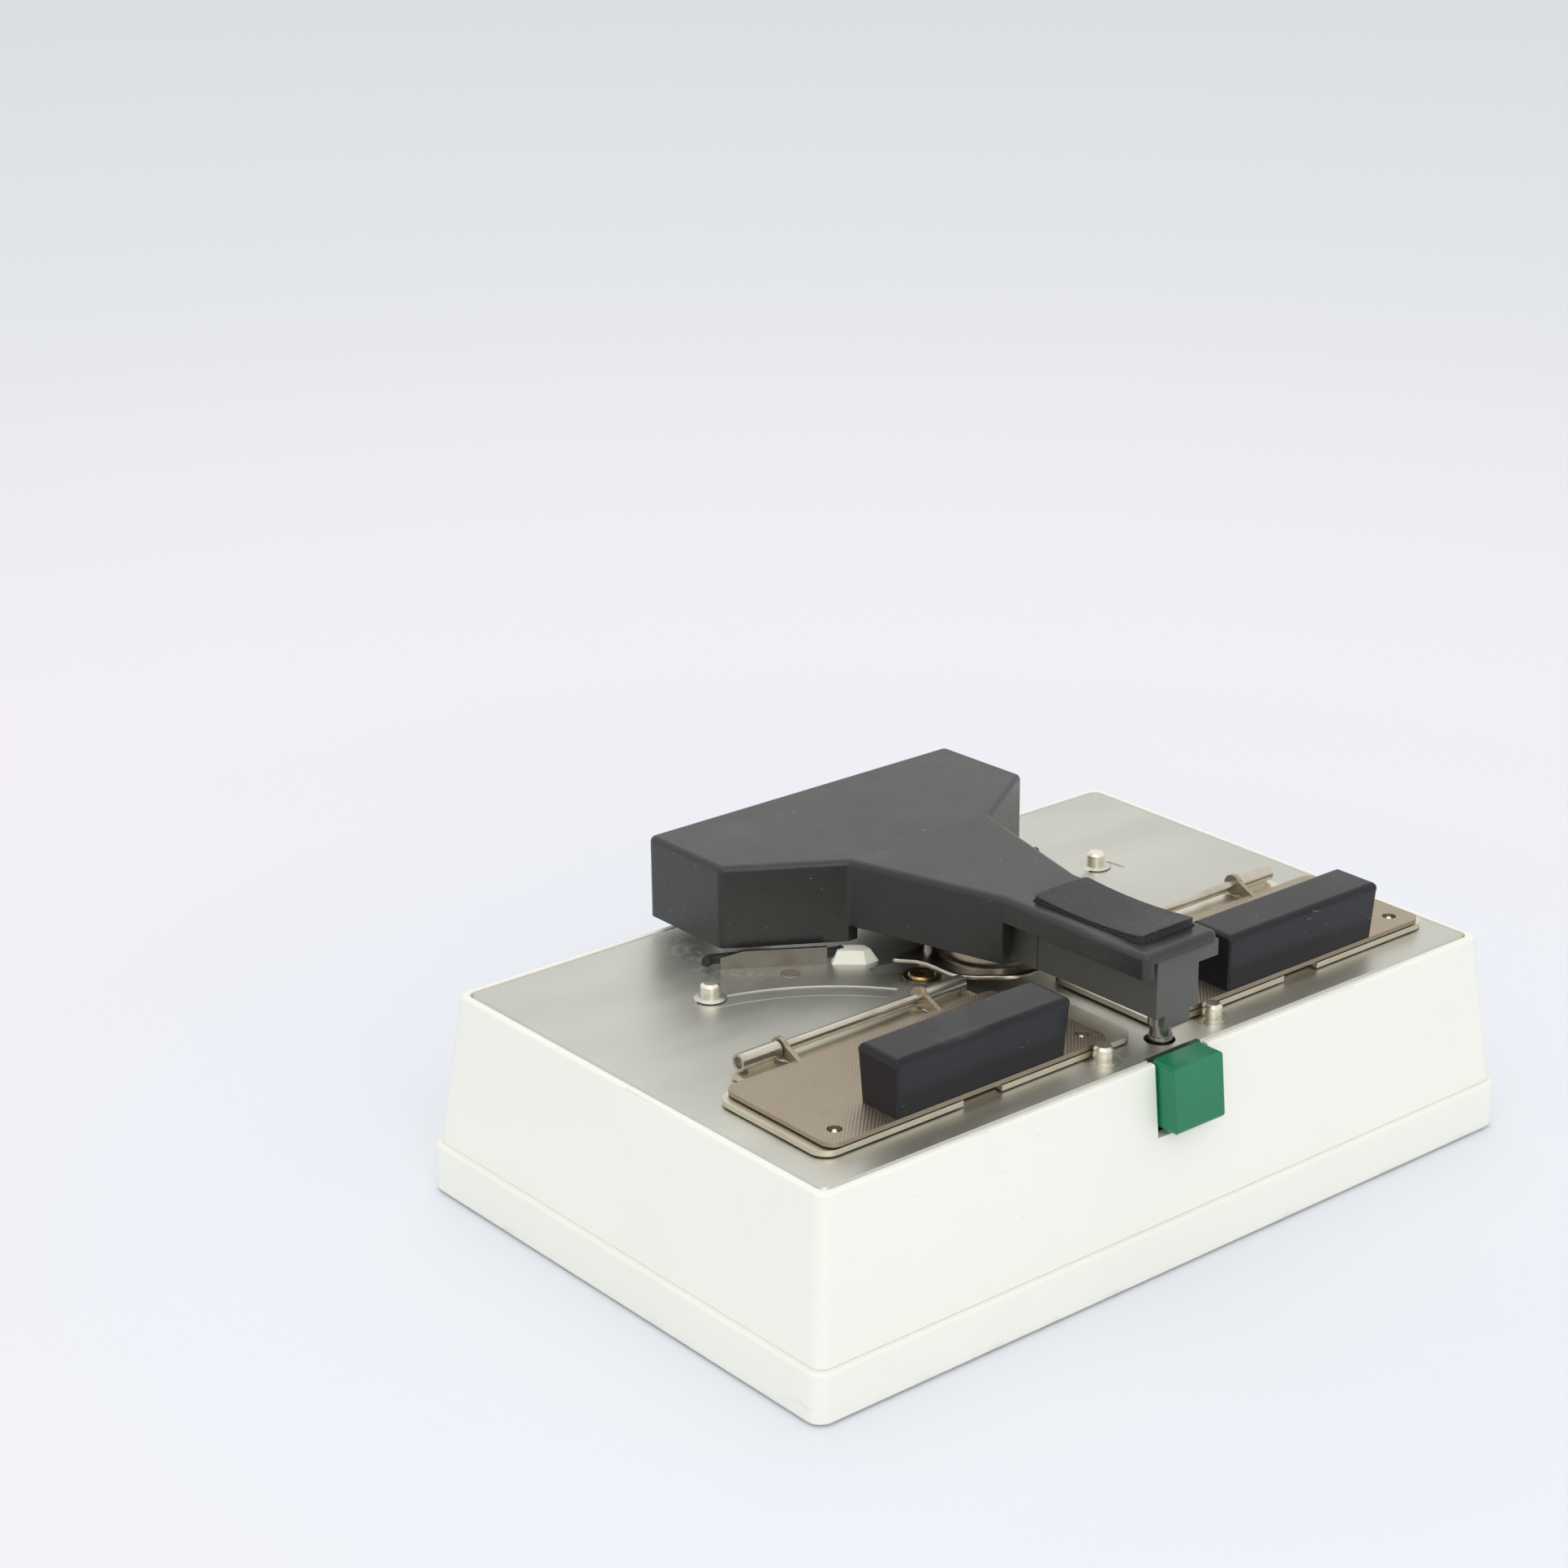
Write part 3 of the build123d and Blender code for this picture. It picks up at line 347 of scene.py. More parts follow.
@dataclass(frozen=True)
class Housing(Moulded):
    """Off-white plastic of the case, with dirt low down, rubbed corners, a few dark specks and a line of painted
    shade along the ledge above the plinth.
    """

    # colour of the dirt low down and of the painted shade line along the ledge
    dirt_and_ledge_shade: Colour = (0.42, 0.38, 0.3)
    corner: tuple[float, float] = (86.0, 104.0)
    # height and half width of the painted shade line along the ledge above the plinth
    seam_height: float = 10.5
    seam_half: float = 0.3

    def lay(self, recipe: Recipe) -> None:
        """Pale plastic whose lowest edge and corner have picked up dirt, with a line of painted shade along the
        ledge above the plinth.
        """
        broad = recipe.clouds(45.0, 4.0).span(0.3, 0.7)
        colour = recipe.mix(broad, shade(self.colour, 0.985), shade(self.colour, 1.012))
        height = recipe.axis("Z")
        corner = (recipe.axis("X") * -0.6 + recipe.axis("Y") * -0.8).span(*self.corner)
        low = height.span(2.2, 0.7) * recipe.clouds(9.0, 5.0).span(0.5, 0.78)
        streak = recipe.clouds(3.0, 5.0, recipe.place((0.35, 0.35, 1.6))).span(0.6, 0.8) * height.span(8.0, 2.0)
        dirt = low * 0.22 + streak * corner * 0.5
        above = height - self.seam_height
        # painted shade: a thin darker line at the ledge where the leaning shell meets the plinth
        ledge_shade = (above * above).span(self.seam_half ** 2, 0.0)
        colour = recipe.mix((dirt + ledge_shade * 0.1).smaller(0.85), colour, self.dirt_and_ledge_shade)
        dots = recipe.specks(17.0, 0.17, 0.3).larger(recipe.specks(11.0, 0.1, 0.25))
        marks = recipe.hairs(6.0, 0.9, self.scuffs)
        colour = recipe.mix(dots * 0.7 + marks * 0.28, colour, self.scuff_colour)
        fine = recipe.clouds(self.grain, 3.0)
        roughness = self.roughness + (recipe.clouds(12.0, 4.0) - 0.5) * 0.14 + dirt * 0.2
        recipe.surface(Base_Color=colour, Roughness=roughness,
                       Normal=recipe.relief(fine, self.depth, recipe.softened(self.edge)))


@dataclass(frozen=True)
class Metal(Finish):
    """Rolled, drawn, plated or polished metal with fine lines, dull patches and soft edges."""

    roughness: float = 0.3
    lines: Along = Along.NONE
    line_width: float = 0.12
    line_depth: float = 0.002
    contrast: float = 0.06
    tarnish: float = 0.25
    tarnish_colour: Colour = (0.3, 0.26, 0.2)
    edge: float = 0.12
    dust: float = 0.0
    lattice: float = 0.0

    def lay(self, recipe: Recipe) -> None:
        """Metal coloured by its lines, patches of tarnish, and, where it has a lattice, dimples with a painted
        highlight.
        """
        lines = recipe.clouds(self.line_width, 3.0, recipe.place(self.lines.value))
        patch = recipe.clouds(7.0, 5.0).span(0.45, 0.75)
        spots = recipe.clouds(1.1, 4.0).span(0.6, 0.8)
        colour = recipe.mix(lines.span(0.25, 0.75), shade(self.colour, 1 - self.contrast),
                            shade(self.colour, 1 + self.contrast))
        dull = (patch * 0.75 + spots * 0.5) * self.tarnish
        colour = recipe.mix(dull.smaller(0.9), colour, self.tarnish_colour)
        roughness = self.roughness + (lines - 0.5) * 0.12 + dull * 0.3
        normal = recipe.softened(self.edge)
        if self.lattice:
            distance, _ = recipe.cells(self.lattice, random=0.0, where=recipe.place(turn=0.785), flat=True)
            dimples_and_highlight = distance.span(0.42, 0.12) * recipe.facing("Z").span(0.5, 0.9)
            # painted highlight: the dimples on the top face are drawn lighter than the plate
            colour = recipe.mix(dimples_and_highlight * 0.45, colour, shade(self.colour, 1.5))
            roughness = roughness - dimples_and_highlight * 0.08
            normal = recipe.relief(dimples_and_highlight, 0.05, normal)
        if self.dust:
            lint = recipe.specks(2.2, 0.07, self.dust)
            film = recipe.clouds(11.0, 6.0).span(0.5, 0.85)
            colour = recipe.mix(lint * 0.5 + film * 0.12, colour, (0.75, 0.74, 0.7))
            roughness = roughness + lint * 0.3 + film * 0.12
        recipe.surface(Base_Color=colour, Metallic=1.0, Roughness=roughness,
                       Normal=recipe.relief(lines, self.line_depth, normal))


@dataclass(frozen=True)
class DeckSheet(Finish):
    """Satin light-metal sheet: fine blasted grain, wiped haze, and dust against what stands on it."""

    roughness: float = 0.42
    edge: float = 0.2
    dust_y: float = 34.0
    band: tuple[float, float] = (46.8, 51.4)
    band_slope: float = 0.9
    band_depth: float = 0.1

    def coined(self, recipe: Recipe) -> Number:
        """Raised band that a swinging holder runs along: 1 on it and 0 beside it.

        It is measured from the holder's pivot, which lies equally far from the
        centre line on both sides, and ends at two angles about that pivot.
        """
        across = recipe.node("ShaderNodeMath", {"operation": "ABSOLUTE"}, {0: recipe.axis("X") - MECH_X})
        inward = PIVOT_REACH - Number(recipe, across.outputs[0])
        back = recipe.axis("Y") - PIVOT_Y
        reach = (inward * inward + back * back) ** 0.5
        near, far = self.band
        ring = reach.span(near, near + self.band_slope) * reach.span(far, far - self.band_slope)
        cosine = inward / reach
        return ring * cosine.span(0.81, 0.77) * cosine.span(0.12, 0.17)

    def lay(self, recipe: Recipe) -> None:
        """Satin metal whose haze follows the wiping direction and whose dust gathers by the head."""
        grain = recipe.clouds(0.16, 2.0)
        haze = recipe.clouds(26.0, 5.0, recipe.place((0.5, 1.3, 1.0), 0.3)).span(0.3, 0.72)
        colour = recipe.mix(haze, shade(self.colour, 0.94), shade(self.colour, 1.05))
        colour = recipe.mix(grain.span(0.3, 0.7) * 0.25, colour, shade(self.colour, 0.85))
        scratch = recipe.hairs(9.0, 0.35, 0.06).larger(recipe.hairs(14.0, -0.9, 0.04))
        colour = recipe.mix(scratch * 0.3, colour, (0.82, 0.82, 0.8))
        across, along = recipe.axis("X") - MECH_X, recipe.axis("Y")
        behind = along - self.dust_y
        near = (across * across + behind * behind) ** 0.5
        gather = near.span(52.0, 38.0) * along.span(14.0, 30.0) * recipe.clouds(1.6, 6.0).span(0.4, 0.75)
        lint = recipe.specks(2.0, 0.08, 0.3)
        powder = (gather * 0.3 + lint * 0.5 + recipe.clouds(6.0, 6.0).span(0.6, 0.85) * 0.12).smaller(0.9)
        roughness = self.roughness + (haze - 0.5) * 0.1 + powder * 0.25 + (grain - 0.5) * 0.1
        pressed = recipe.relief(self.coined(recipe), self.band_depth, recipe.softened(self.edge))
        recipe.surface(Base_Color=recipe.mix(powder, colour, (0.8, 0.79, 0.74)), Metallic=1.0 - powder * 0.8,
                       Roughness=roughness, Normal=recipe.relief(grain, 0.0035, pressed))


@dataclass(frozen=True)
class Pebbled(Finish):
    """Rubber with a pebbled skin."""

    pebble: float = 0.42
    depth: float = 0.05
    roughness: float = 0.55
    edge: float = 0.2

    def lay(self, recipe: Recipe) -> None:
        """Rounded pebbles with finer grit between them, worn smoother in the middle, with painted highlight on
        the pebble tops and painted shade in the hollows.
        """
        distance, pick = recipe.cells(self.pebble, "SMOOTH_F1")
        grit = recipe.clouds(self.pebble * 0.4, 3.0)
        height = (1.0 - distance) * 0.8 + grit * 0.5
        worn = recipe.clouds(12.0, 3.0).span(0.35, 0.7)
        # painted highlight and shade: colour lighter on the pebble tops and darker in the hollows between them
        colour = recipe.mix(height.span(0.5, 1.1), shade(self.colour, 0.7), shade(self.colour, 1.3))
        lint = recipe.specks(3.4, 0.09, 0.25)
        colour = recipe.mix(lint * 0.7, colour, (0.5, 0.49, 0.46))
        recipe.surface(Base_Color=colour, Roughness=self.roughness - worn * 0.08 + (pick - 0.5) * 0.1,
                       Normal=recipe.relief(height, self.depth, recipe.softened(self.edge)))


@dataclass(frozen=True)
class Abrasive(Finish):
    """Grinding disc: a ground steel cup with abrasive grit on its face."""

    grit: Colour = (0.16, 0.15, 0.14)

    def lay(self, recipe: Recipe) -> None:
        """Steel on the back and rim, grit on the side that faces down."""
        under = recipe.facing("Z").span(-0.4, -0.8)
        distance, pick = recipe.cells(0.28)
        grains = distance.span(0.7, 0.2)
        lines = recipe.clouds(0.2, 3.0)
        steel = recipe.mix(lines.span(0.3, 0.7), shade(self.colour, 0.9), shade(self.colour, 1.1))
        sand = recipe.mix(pick, shade(self.grit, 0.6), shade(self.grit, 1.8))
        recipe.surface(Base_Color=recipe.mix(under, steel, sand), Metallic=1.0 - under,
                       Roughness=0.28 + under * 0.5 + lines * 0.1,
                       Normal=recipe.relief(grains * under, 0.12, recipe.softened(0.5)))


@dataclass(frozen=True)
class CellJacket(Finish):
    """Printed metal jacket of a dry cell, with bare ends."""

    band: Colour = (0.5, 0.36, 0.08)
    band_start: float = 38.0
    first_cell: float = -50.8
    cell_pitch: float = 51.7

    def lay(self, recipe: Recipe) -> None:
        """Dark jacket with a plain coloured band by the positive end and bare steel end faces."""
        ends = recipe.facing("X")
        ends = (ends * ends).span(0.4, 0.7)
        place = recipe.axis("X") - self.first_cell
        along = recipe.node("ShaderNodeMath", {"operation": "WRAP"}, {0: place, 1: self.cell_pitch, 2: 0.0})
        band = Number(recipe, along.outputs[0]).span(self.band_start, self.band_start + 0.4)
        rubbed = recipe.clouds(4.0, 5.0).span(0.6, 0.75) * 0.3
        colour = recipe.mix(band, self.colour, self.band)
        colour = recipe.mix((ends + rubbed).smaller(1.0), colour, (0.6, 0.59, 0.57))
        recipe.surface(Base_Color=colour, Metallic=ends * 0.9 + 0.05,
                       Roughness=0.3 + recipe.clouds(2.0, 4.0) * 0.15,
                       Normal=recipe.relief(recipe.clouds(0.3, 2.0), 0.003, recipe.softened(0.3)))


CASE_PLASTIC = Housing("case plastic", (0.89, 0.895, 0.825), roughness=0.42, grain=0.35, depth=0.003,
                       edge=0.35, scuffs=0.1)
DOOR_PLASTIC = Housing("door plastic", (0.85, 0.865, 0.81), roughness=0.45, grain=0.35, depth=0.004,
                       edge=0.3, scuffs=0.14)
DECK = DeckSheet("deck sheet", (0.66, 0.66, 0.6))
HEAD_PLASTIC = Moulded("head plastic", (0.024, 0.025, 0.025), roughness=0.31, grain=0.7, depth=0.06,
                       top_grain=0.12, variation=0.18, edge=0.3, dust=0.6, scuffs=0.06)
INNER_PLASTIC = Moulded("inner plastic", (0.078, 0.08, 0.073), roughness=0.5, grain=0.3, depth=0.006,
                        variation=0.12, edge=0.2, dust=0.3)
HANDLE_PLASTIC = Moulded("handle plastic", (0.014, 0.0145, 0.018), roughness=0.2, grain=0.4, depth=0.006,
                         top_grain=0.4, variation=0.18, edge=0.2, dust=0.4, scuffs=0.07, shine=0.28)
PAD_RUBBER = Pebbled("pad rubber", (0.02, 0.02, 0.021), pebble=0.5, depth=0.12, roughness=0.52)
FEET_RUBBER = Pebbled("feet rubber", (0.04, 0.04, 0.04), pebble=0.3, depth=0.01, roughness=0.7)
DRIVE_RUBBER = Pebbled("drive rubber", (0.03, 0.03, 0.03), pebble=0.22, depth=0.012, roughness=0.62)
GASKET = Pebbled("gasket rubber", (0.022, 0.021, 0.02), pebble=0.5, depth=0.06, roughness=0.5)
KEY_PLASTIC = Moulded("key plastic", (0.004, 0.19, 0.08), roughness=0.28, grain=0.9, depth=0.012,
                      variation=0.14, edge=0.3, dust=0.08, scuffs=0.1, scuff_colour=(0.02, 0.4, 0.2))
SWITCH_PLASTIC = Moulded("switch plastic", (0.45, 0.04, 0.03), roughness=0.35, grain=0.4, edge=0.15)
BODY_PLASTIC = Moulded("switch body plastic", (0.03, 0.03, 0.03), roughness=0.4, grain=0.4, edge=0.15)
TRAY_PLASTIC = Moulded("tray plastic", (0.08, 0.08, 0.08), roughness=0.5, grain=0.5, edge=0.2)
WEDGE_PLASTIC = Moulded("wedge plastic", (0.93, 0.93, 0.83), roughness=0.4, grain=0.5, depth=0.004,
                        variation=0.02, edge=0.25, dust=0.15, dust_colour=(0.3, 0.28, 0.24))
CLAMP_PLATE = Metal("dimpled plate", (0.42, 0.355, 0.275), roughness=0.42, lines=Along.X, contrast=0.05,
                    tarnish=0.25, tarnish_colour=(0.33, 0.26, 0.19), lattice=0.62, dust=0.2)
LOWER_PLATE = Metal("nickel plate", (0.8, 0.75, 0.62), roughness=0.34, lines=Along.X, tarnish=0.3,
                    tarnish_colour=(0.33, 0.28, 0.2), dust=0.1)
NICKEL_BAR = Metal("nickel bar", (0.64, 0.6, 0.51), roughness=0.27, lines=Along.X, line_depth=0.004,
                   tarnish=0.4, tarnish_colour=(0.22, 0.19, 0.14))
PIN_STEEL = Metal("turned pin", (0.94, 0.89, 0.76), roughness=0.32, lines=Along.ROUND, line_depth=0.002,
                  tarnish=0.1, edge=0.15)
WALL_STEEL = Metal("spring steel", (0.2, 0.19, 0.17), roughness=0.3, lines=Along.Z, tarnish=0.5,
                   tarnish_colour=(0.1, 0.09, 0.075), edge=0.16, dust=0.25)
PLUNGER_STEEL = Metal("plunger steel", (0.34, 0.33, 0.31), roughness=0.25, lines=Along.ROUND, tarnish=0.4,
                      tarnish_colour=(0.12, 0.11, 0.1), edge=0.15)
LEAF_STEEL = Metal("leaf steel", (0.62, 0.57, 0.49), roughness=0.26, tarnish=0.45, edge=0.12,
                   tarnish_colour=(0.25, 0.21, 0.16))
INNER_STEEL = Metal("zinc plated steel", (0.55, 0.56, 0.57), roughness=0.38, lines=Along.Y, tarnish=0.2)
SCREW_STEEL = Metal("screw steel", (0.45, 0.45, 0.46), roughness=0.32, lines=Along.ROUND, tarnish=0.2)
MOTOR_STEEL = Metal("motor can", (0.16, 0.16, 0.155), roughness=0.36, lines=Along.ROUND, tarnish=0.15,
                    tarnish_colour=(0.08, 0.075, 0.07))
RIVET_METAL = Metal("rivet metal", (0.56, 0.5, 0.4), roughness=0.36, tarnish=0.6, edge=0.3, dust=0.1)
WASHER_STEEL = Metal("washer steel", (0.55, 0.5, 0.42), roughness=0.24, tarnish=0.6, edge=0.15,
                     tarnish_colour=(0.16, 0.12, 0.08))
BRASS = Metal("turned brass", (0.72, 0.5, 0.2), roughness=0.27, lines=Along.ROUND, tarnish=0.45,
              tarnish_colour=(0.2, 0.12, 0.04))
CONTACT_METAL = Metal("contact strip", (0.68, 0.64, 0.54), roughness=0.25, lines=Along.Z, tarnish=0.25)
DISC = Abrasive("grinding disc", (0.55, 0.5, 0.42))
CELLS = CellJacket("cell jacket", (0.05, 0.05, 0.055))


# ---------------------------------------------------------------- surfaces

class Surface:
    """Meshes worked out as whole arrays on a grid of two parameters."""

    @staticmethod
    def grid_faces(rows: int, columns: int, closed: bool) -> np.ndarray:
        """Quads between neighbouring points of a grid whose columns may close on themselves.

        Args:
            rows: Number of rows of points.
            columns: Number of points in a row.
            closed: True if the last point of a row joins the first.

        Returns:
            Indices of the corners, one quad in a row.
        """
        last = columns if closed else columns - 1
        row, column = np.meshgrid(np.arange(rows - 1), np.arange(last), indexing="ij")
        after = (column + 1) % columns
        quads = np.stack([row * columns + column, row * columns + after,
                          (row + 1) * columns + after, (row + 1) * columns + column], -1)
        return quads.reshape(-1, 4)

    @staticmethod
    def piece(name: str, points: np.ndarray, closed: bool = True, capped: bool = True) -> bpy.types.Object:
        """A piece from rings of points in millimetres, each ring one row of the grid.

        Args:
            name: Name of the piece.
            points: Array of rows, columns and x, y, z.
            closed: True if each ring closes on itself.
            capped: True to close the first and the last ring with a face.

        Returns:
            The new object, with its faces outward and shaded smooth except at sharp edges.
        """
        rows, columns = points.shape[:2]
        faces = [tuple(quad) for quad in Surface.grid_faces(rows, columns, closed).tolist()]
        if capped:
            faces.append(tuple(range(columns - 1, -1, -1)))
            faces.append(tuple(range((rows - 1) * columns, rows * columns)))
        mesh = bpy.data.meshes.new(name)
        mesh.from_pydata((points.reshape(-1, 3) * MM).tolist(), [], faces)
        mesh.validate()
        Surface.welded(mesh)
        mesh.polygons.foreach_set("use_smooth", np.ones(len(mesh.polygons), bool))
        mesh.set_sharp_from_angle(angle=SMOOTH_BELOW)
        made = bpy.data.objects.new(name, mesh)
        bpy.context.scene.collection.objects.link(made)
        Surface.outward(made)
        return made

    @staticmethod
    def welded(mesh: bpy.types.Mesh) -> None:
        """Merges points that lie on each other, so that poles and ridges close."""
        work = bmesh.new()
        work.from_mesh(mesh)
        bmesh.ops.remove_doubles(work, verts=work.verts, dist=WELD)
        work.to_mesh(mesh)
        work.free()

    @staticmethod
    def outward(made: bpy.types.Object) -> None:
        """Turns all faces of a closed piece so that its volume is positive."""
        mesh = made.data
        corner = np.zeros(len(mesh.loops), int)
        mesh.loops.foreach_get("vertex_index", corner)
        places = np.zeros(len(mesh.vertices) * 3)
        mesh.vertices.foreach_get("co", places)
        places = places.reshape(-1, 3)
        mesh.calc_loop_triangles()
        triangles = np.zeros(len(mesh.loop_triangles) * 3, int)
        mesh.loop_triangles.foreach_get("vertices", triangles)
        a, b, c = places[triangles.reshape(-1, 3)].transpose(1, 0, 2)
        if np.einsum("ij,ij->i", a, np.cross(b, c)).sum() < 0:
            mesh.flip_normals()

    @staticmethod
    def rounded_rectangle(half_x: float, half_y: float, corner: float, steps: int) -> np.ndarray:
        """Points round a rectangle whose corners are quarter circles with steps points each.

        The outline is the corner circle's point at an angle, moved out by the
        straight half sides in the quarter that the angle lies in.
        """
        angle = np.concatenate([np.linspace(q * 90, q * 90 + 90, steps) for q in range(4)])
        quarter = np.repeat(np.arange(4), steps)
        sign_x = np.where((quarter == 0) | (quarter == 3), 1, -1)
        sign_y = np.where(quarter < 2, 1, -1)
        x = sign_x * (half_x - corner) + corner * np.cos(np.radians(angle))
        y = sign_y * (half_y - corner) + corner * np.sin(np.radians(angle))
        return np.stack([x, y], -1)

    @staticmethod
    def curve(points: Sequence[Sequence[float]], count: int) -> np.ndarray:
        """Smooth open curve through points, as cubic pieces whose slopes are the neighbours' chords."""
        knots = np.asarray(points, float)
        length = np.concatenate([[0], np.cumsum(np.linalg.norm(np.diff(knots, axis=0), axis=1))])
        slope = np.gradient(knots, length, axis=0)
        at = np.linspace(0, length[-1], count)
        index = np.clip(np.searchsorted(length, at, side="right") - 1, 0, len(knots) - 2)
        step = (length[index + 1] - length[index])[:, None]
        t = ((at - length[index])[:, None]) / step
        return ((2 * t**3 - 3 * t**2 + 1) * knots[index] + (t**3 - 2 * t**2 + t) * step * slope[index]
                + (-2 * t**3 + 3 * t**2) * knots[index + 1] + (t**3 - t**2) * step * slope[index + 1])

    @staticmethod
    def post(name: str, x: float, y: float, profile: Profile, columns: int = 32) -> bpy.types.Object:
        """Turned upright post: each radius and height of the profile is carried round a circle.

        Args:
            name: Name of the piece.
            x: Place of its axis.
            y: Place of its axis.
            profile: Radius and height, from the bottom up.
            columns: Number of points round it.

        Returns:
            The new object.
        """
        angle = np.linspace(0, 2 * math.pi, columns, endpoint=False)
        radius = np.array([p[0] for p in profile])[:, None]
        height = np.array([p[1] for p in profile])[:, None]
        points = np.stack([x + radius * np.cos(angle), y + radius * np.sin(angle),
                           height + 0 * angle], -1)
        return Surface.piece(name, points)

    @staticmethod
    def head_rest(points: np.ndarray) -> np.ndarray:
        """Points of the head drawn level, turned about the hinge by the resting tilt."""
        y, z = points[..., 1] - HINGE_Y, points[..., 2] - HINGE_Z
        cosine, sine = math.cos(HEAD_TILT), math.sin(HEAD_TILT)
        return np.stack([points[..., 0], HINGE_Y + y * cosine + z * sine,
                         HINGE_Z - y * sine + z * cosine], -1)


# ---------------------------------------------------------------- sub-assemblies

@dataclass
class Assembly:
    """A group of pieces that is built and dressed together."""

    title: str
    done: list[str] = field(default_factory=list)

    def dress(self, finish: Finish, *names: str) -> None:
        """Gives CAD nodes or new pieces their finish.

        Args:
            finish: The finish.
            names: Names of the objects.
        """
        for name in names:
            made = bpy.data.objects[name]
            made.data.materials.clear()
            made.data.materials.append(finish.material())
            self.done.append(name)

    def add(self, made: bpy.types.Object, body: str, finish: Finish, slot: str) -> bpy.types.Object:
        """Takes a new piece in: its finish and the body that it rides on."""
        self.dress(finish, made.name)
        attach(made, body)
        return made

    def build(self) -> None:
        """Builds and dresses the pieces."""
        raise NotImplementedError

    def report(self) -> None:
        """Logs the pieces that were built or dressed."""
        for name in self.done:
            made = bpy.data.objects[name]
            LOG.info("%s: %s, %d faces, %s", self.title, name, len(made.data.polygons),
                     made.data.materials[0].name)


@dataclass
class Case(Assembly):
    """Plinth, leaning shell, deck and what is fixed to them."""

    title: str = "case"

    def build(self) -> None:
        """Dresses the case."""
        self.dress(CASE_PLASTIC, "base_pan", "upper_case")
        self.dress(DECK, "deck_plate")
        self.dress(PIN_STEEL, "stop_pins", "head_hinge_pin")
        self.dress(RIVET_METAL, "deck_rivets", "holder_pivot_studs")
        self.dress(BRASS, "drive_bushes")
        self.dress(WASHER_STEEL, "bush_washers")
        self.dress(INNER_STEEL, "mechanism_plate", "head_hinge_bracket")
        self.dress(SCREW_STEEL, "bracket_screws", "case_screws")
        self.dress(FEET_RUBBER, "rubber_feet")


# Middle line of the left strip, from its bent outer end to the wedge.
STRIP_LINE: Profile = ((-42.6, 31.2), (-41.6, 31.6), (-39.2, 31.1), (-33.0, 27.4), (-26.0, 22.9),
                       (-21.0, 19.6), (-18.3, 19.2))


@dataclass
class FilmGuides(Assembly):
    """What the film end is led by when a holder is swung back."""

    title: str = "film guides"
    strip_top: float = 44.35
    strip_bottom: float = 42.4
    strip_half: float = 0.95
    stations: int = 90

    def strip(self, side: Side) -> bpy.types.Object:
        """Dark rubber strip that lies behind a guide wall and bends round its outer end.

        A flat oval profile is carried along a smooth line, and its height
        wavers a little along it.
        """
        line = Surface.curve(STRIP_LINE, self.stations)
        ahead = np.gradient(line, axis=0)
        ahead /= np.linalg.norm(ahead, axis=1)[:, None]
        beside = np.stack([-ahead[:, 1], ahead[:, 0]], -1)
        angle = np.linspace(0, 2 * math.pi, 20, endpoint=False)
        wide = self.strip_half * np.sign(np.cos(angle)) * np.abs(np.cos(angle)) ** 0.5
        middle = (self.strip_top + self.strip_bottom) / 2
        tall = (self.strip_top - self.strip_bottom) / 2 - 0.1
        up = tall * np.sign(np.sin(angle)) * np.abs(np.sin(angle)) ** 0.5
        run = np.arange(self.stations)[:, None]
        waver = 0.1 * np.sin(run * 0.31) * np.sin(run * 0.11 + 1)
        places = line[:, None, :] + beside[:, None, :] * wide[None, :, None]
        height = middle + up[None, :] + waver
        points = side.across(np.concatenate([places, height[..., None]], -1))
        return Surface.piece(f"{side.value}_guide_strip", points)

    def build(self) -> None:
        """Dresses the walls and wedges and adds the strips."""
        for side in Side:
            self.dress(WALL_STEEL, side.node("guide_wall"))
            self.dress(WEDGE_PLASTIC, side.node("film_wedge"))
            self.add(self.strip(side), "case", GASKET, "feet_rubber")


@dataclass
class FilmHolder(Assembly):
    """One film holder with its clamp and handle."""

    title: str = "film holder"
    side: Side = Side.LEFT

    def build(self) -> None:
        """Dresses the holder."""
        self.dress(LOWER_PLATE, self.side.node("lower_plate"))
        self.dress(NICKEL_BAR, self.side.node("hinge_sleeves"), self.side.node("hinge_rod"))
        self.dress(PIN_STEEL, self.side.node("register_pins"))
        self.dress(CLAMP_PLATE, self.side.node("upper_plate"))
        self.dress(HANDLE_PLASTIC, self.side.node("handle"))
        self.dress(SCREW_STEEL, self.side.node("handle_screws"))


# Lower rings of the thumb pad: how far out of its outline, how high, and 1 if the height follows the saddle.
PAD_RINGS: Profile = ((0.12, -0.38, 0), (0.12, -0.05, 0), (0.0, 0.25, 0), (0.0, -0.5, 1), (-0.02, -0.32, 1),
                      (0.02, -0.2, 1), (0.0, -0.09, 1), (-0.1, -0.02, 1), (-0.3, 0.0, 1), (-0.6, 0.0, 1))
# Outer edge of the disc guard's left half: angle about the spindle in degrees, and radius.
GUARD_EDGE: Profile = ((90, 11.6), (118, 12.0), (138, 13.0), (149, 15.8), (154, 19.0), (158, 19.9), (161, 18.0),
                       (165, 15.9), (172, 14.6), (181, 14.1), (190, 14.2), (200, 14.6), (211, 14.6), (221, 14.4),
                       (231, 14.1), (240, 14.5), (250, 14.7), (270, 14.6))
GUARD_THICK = 0.3
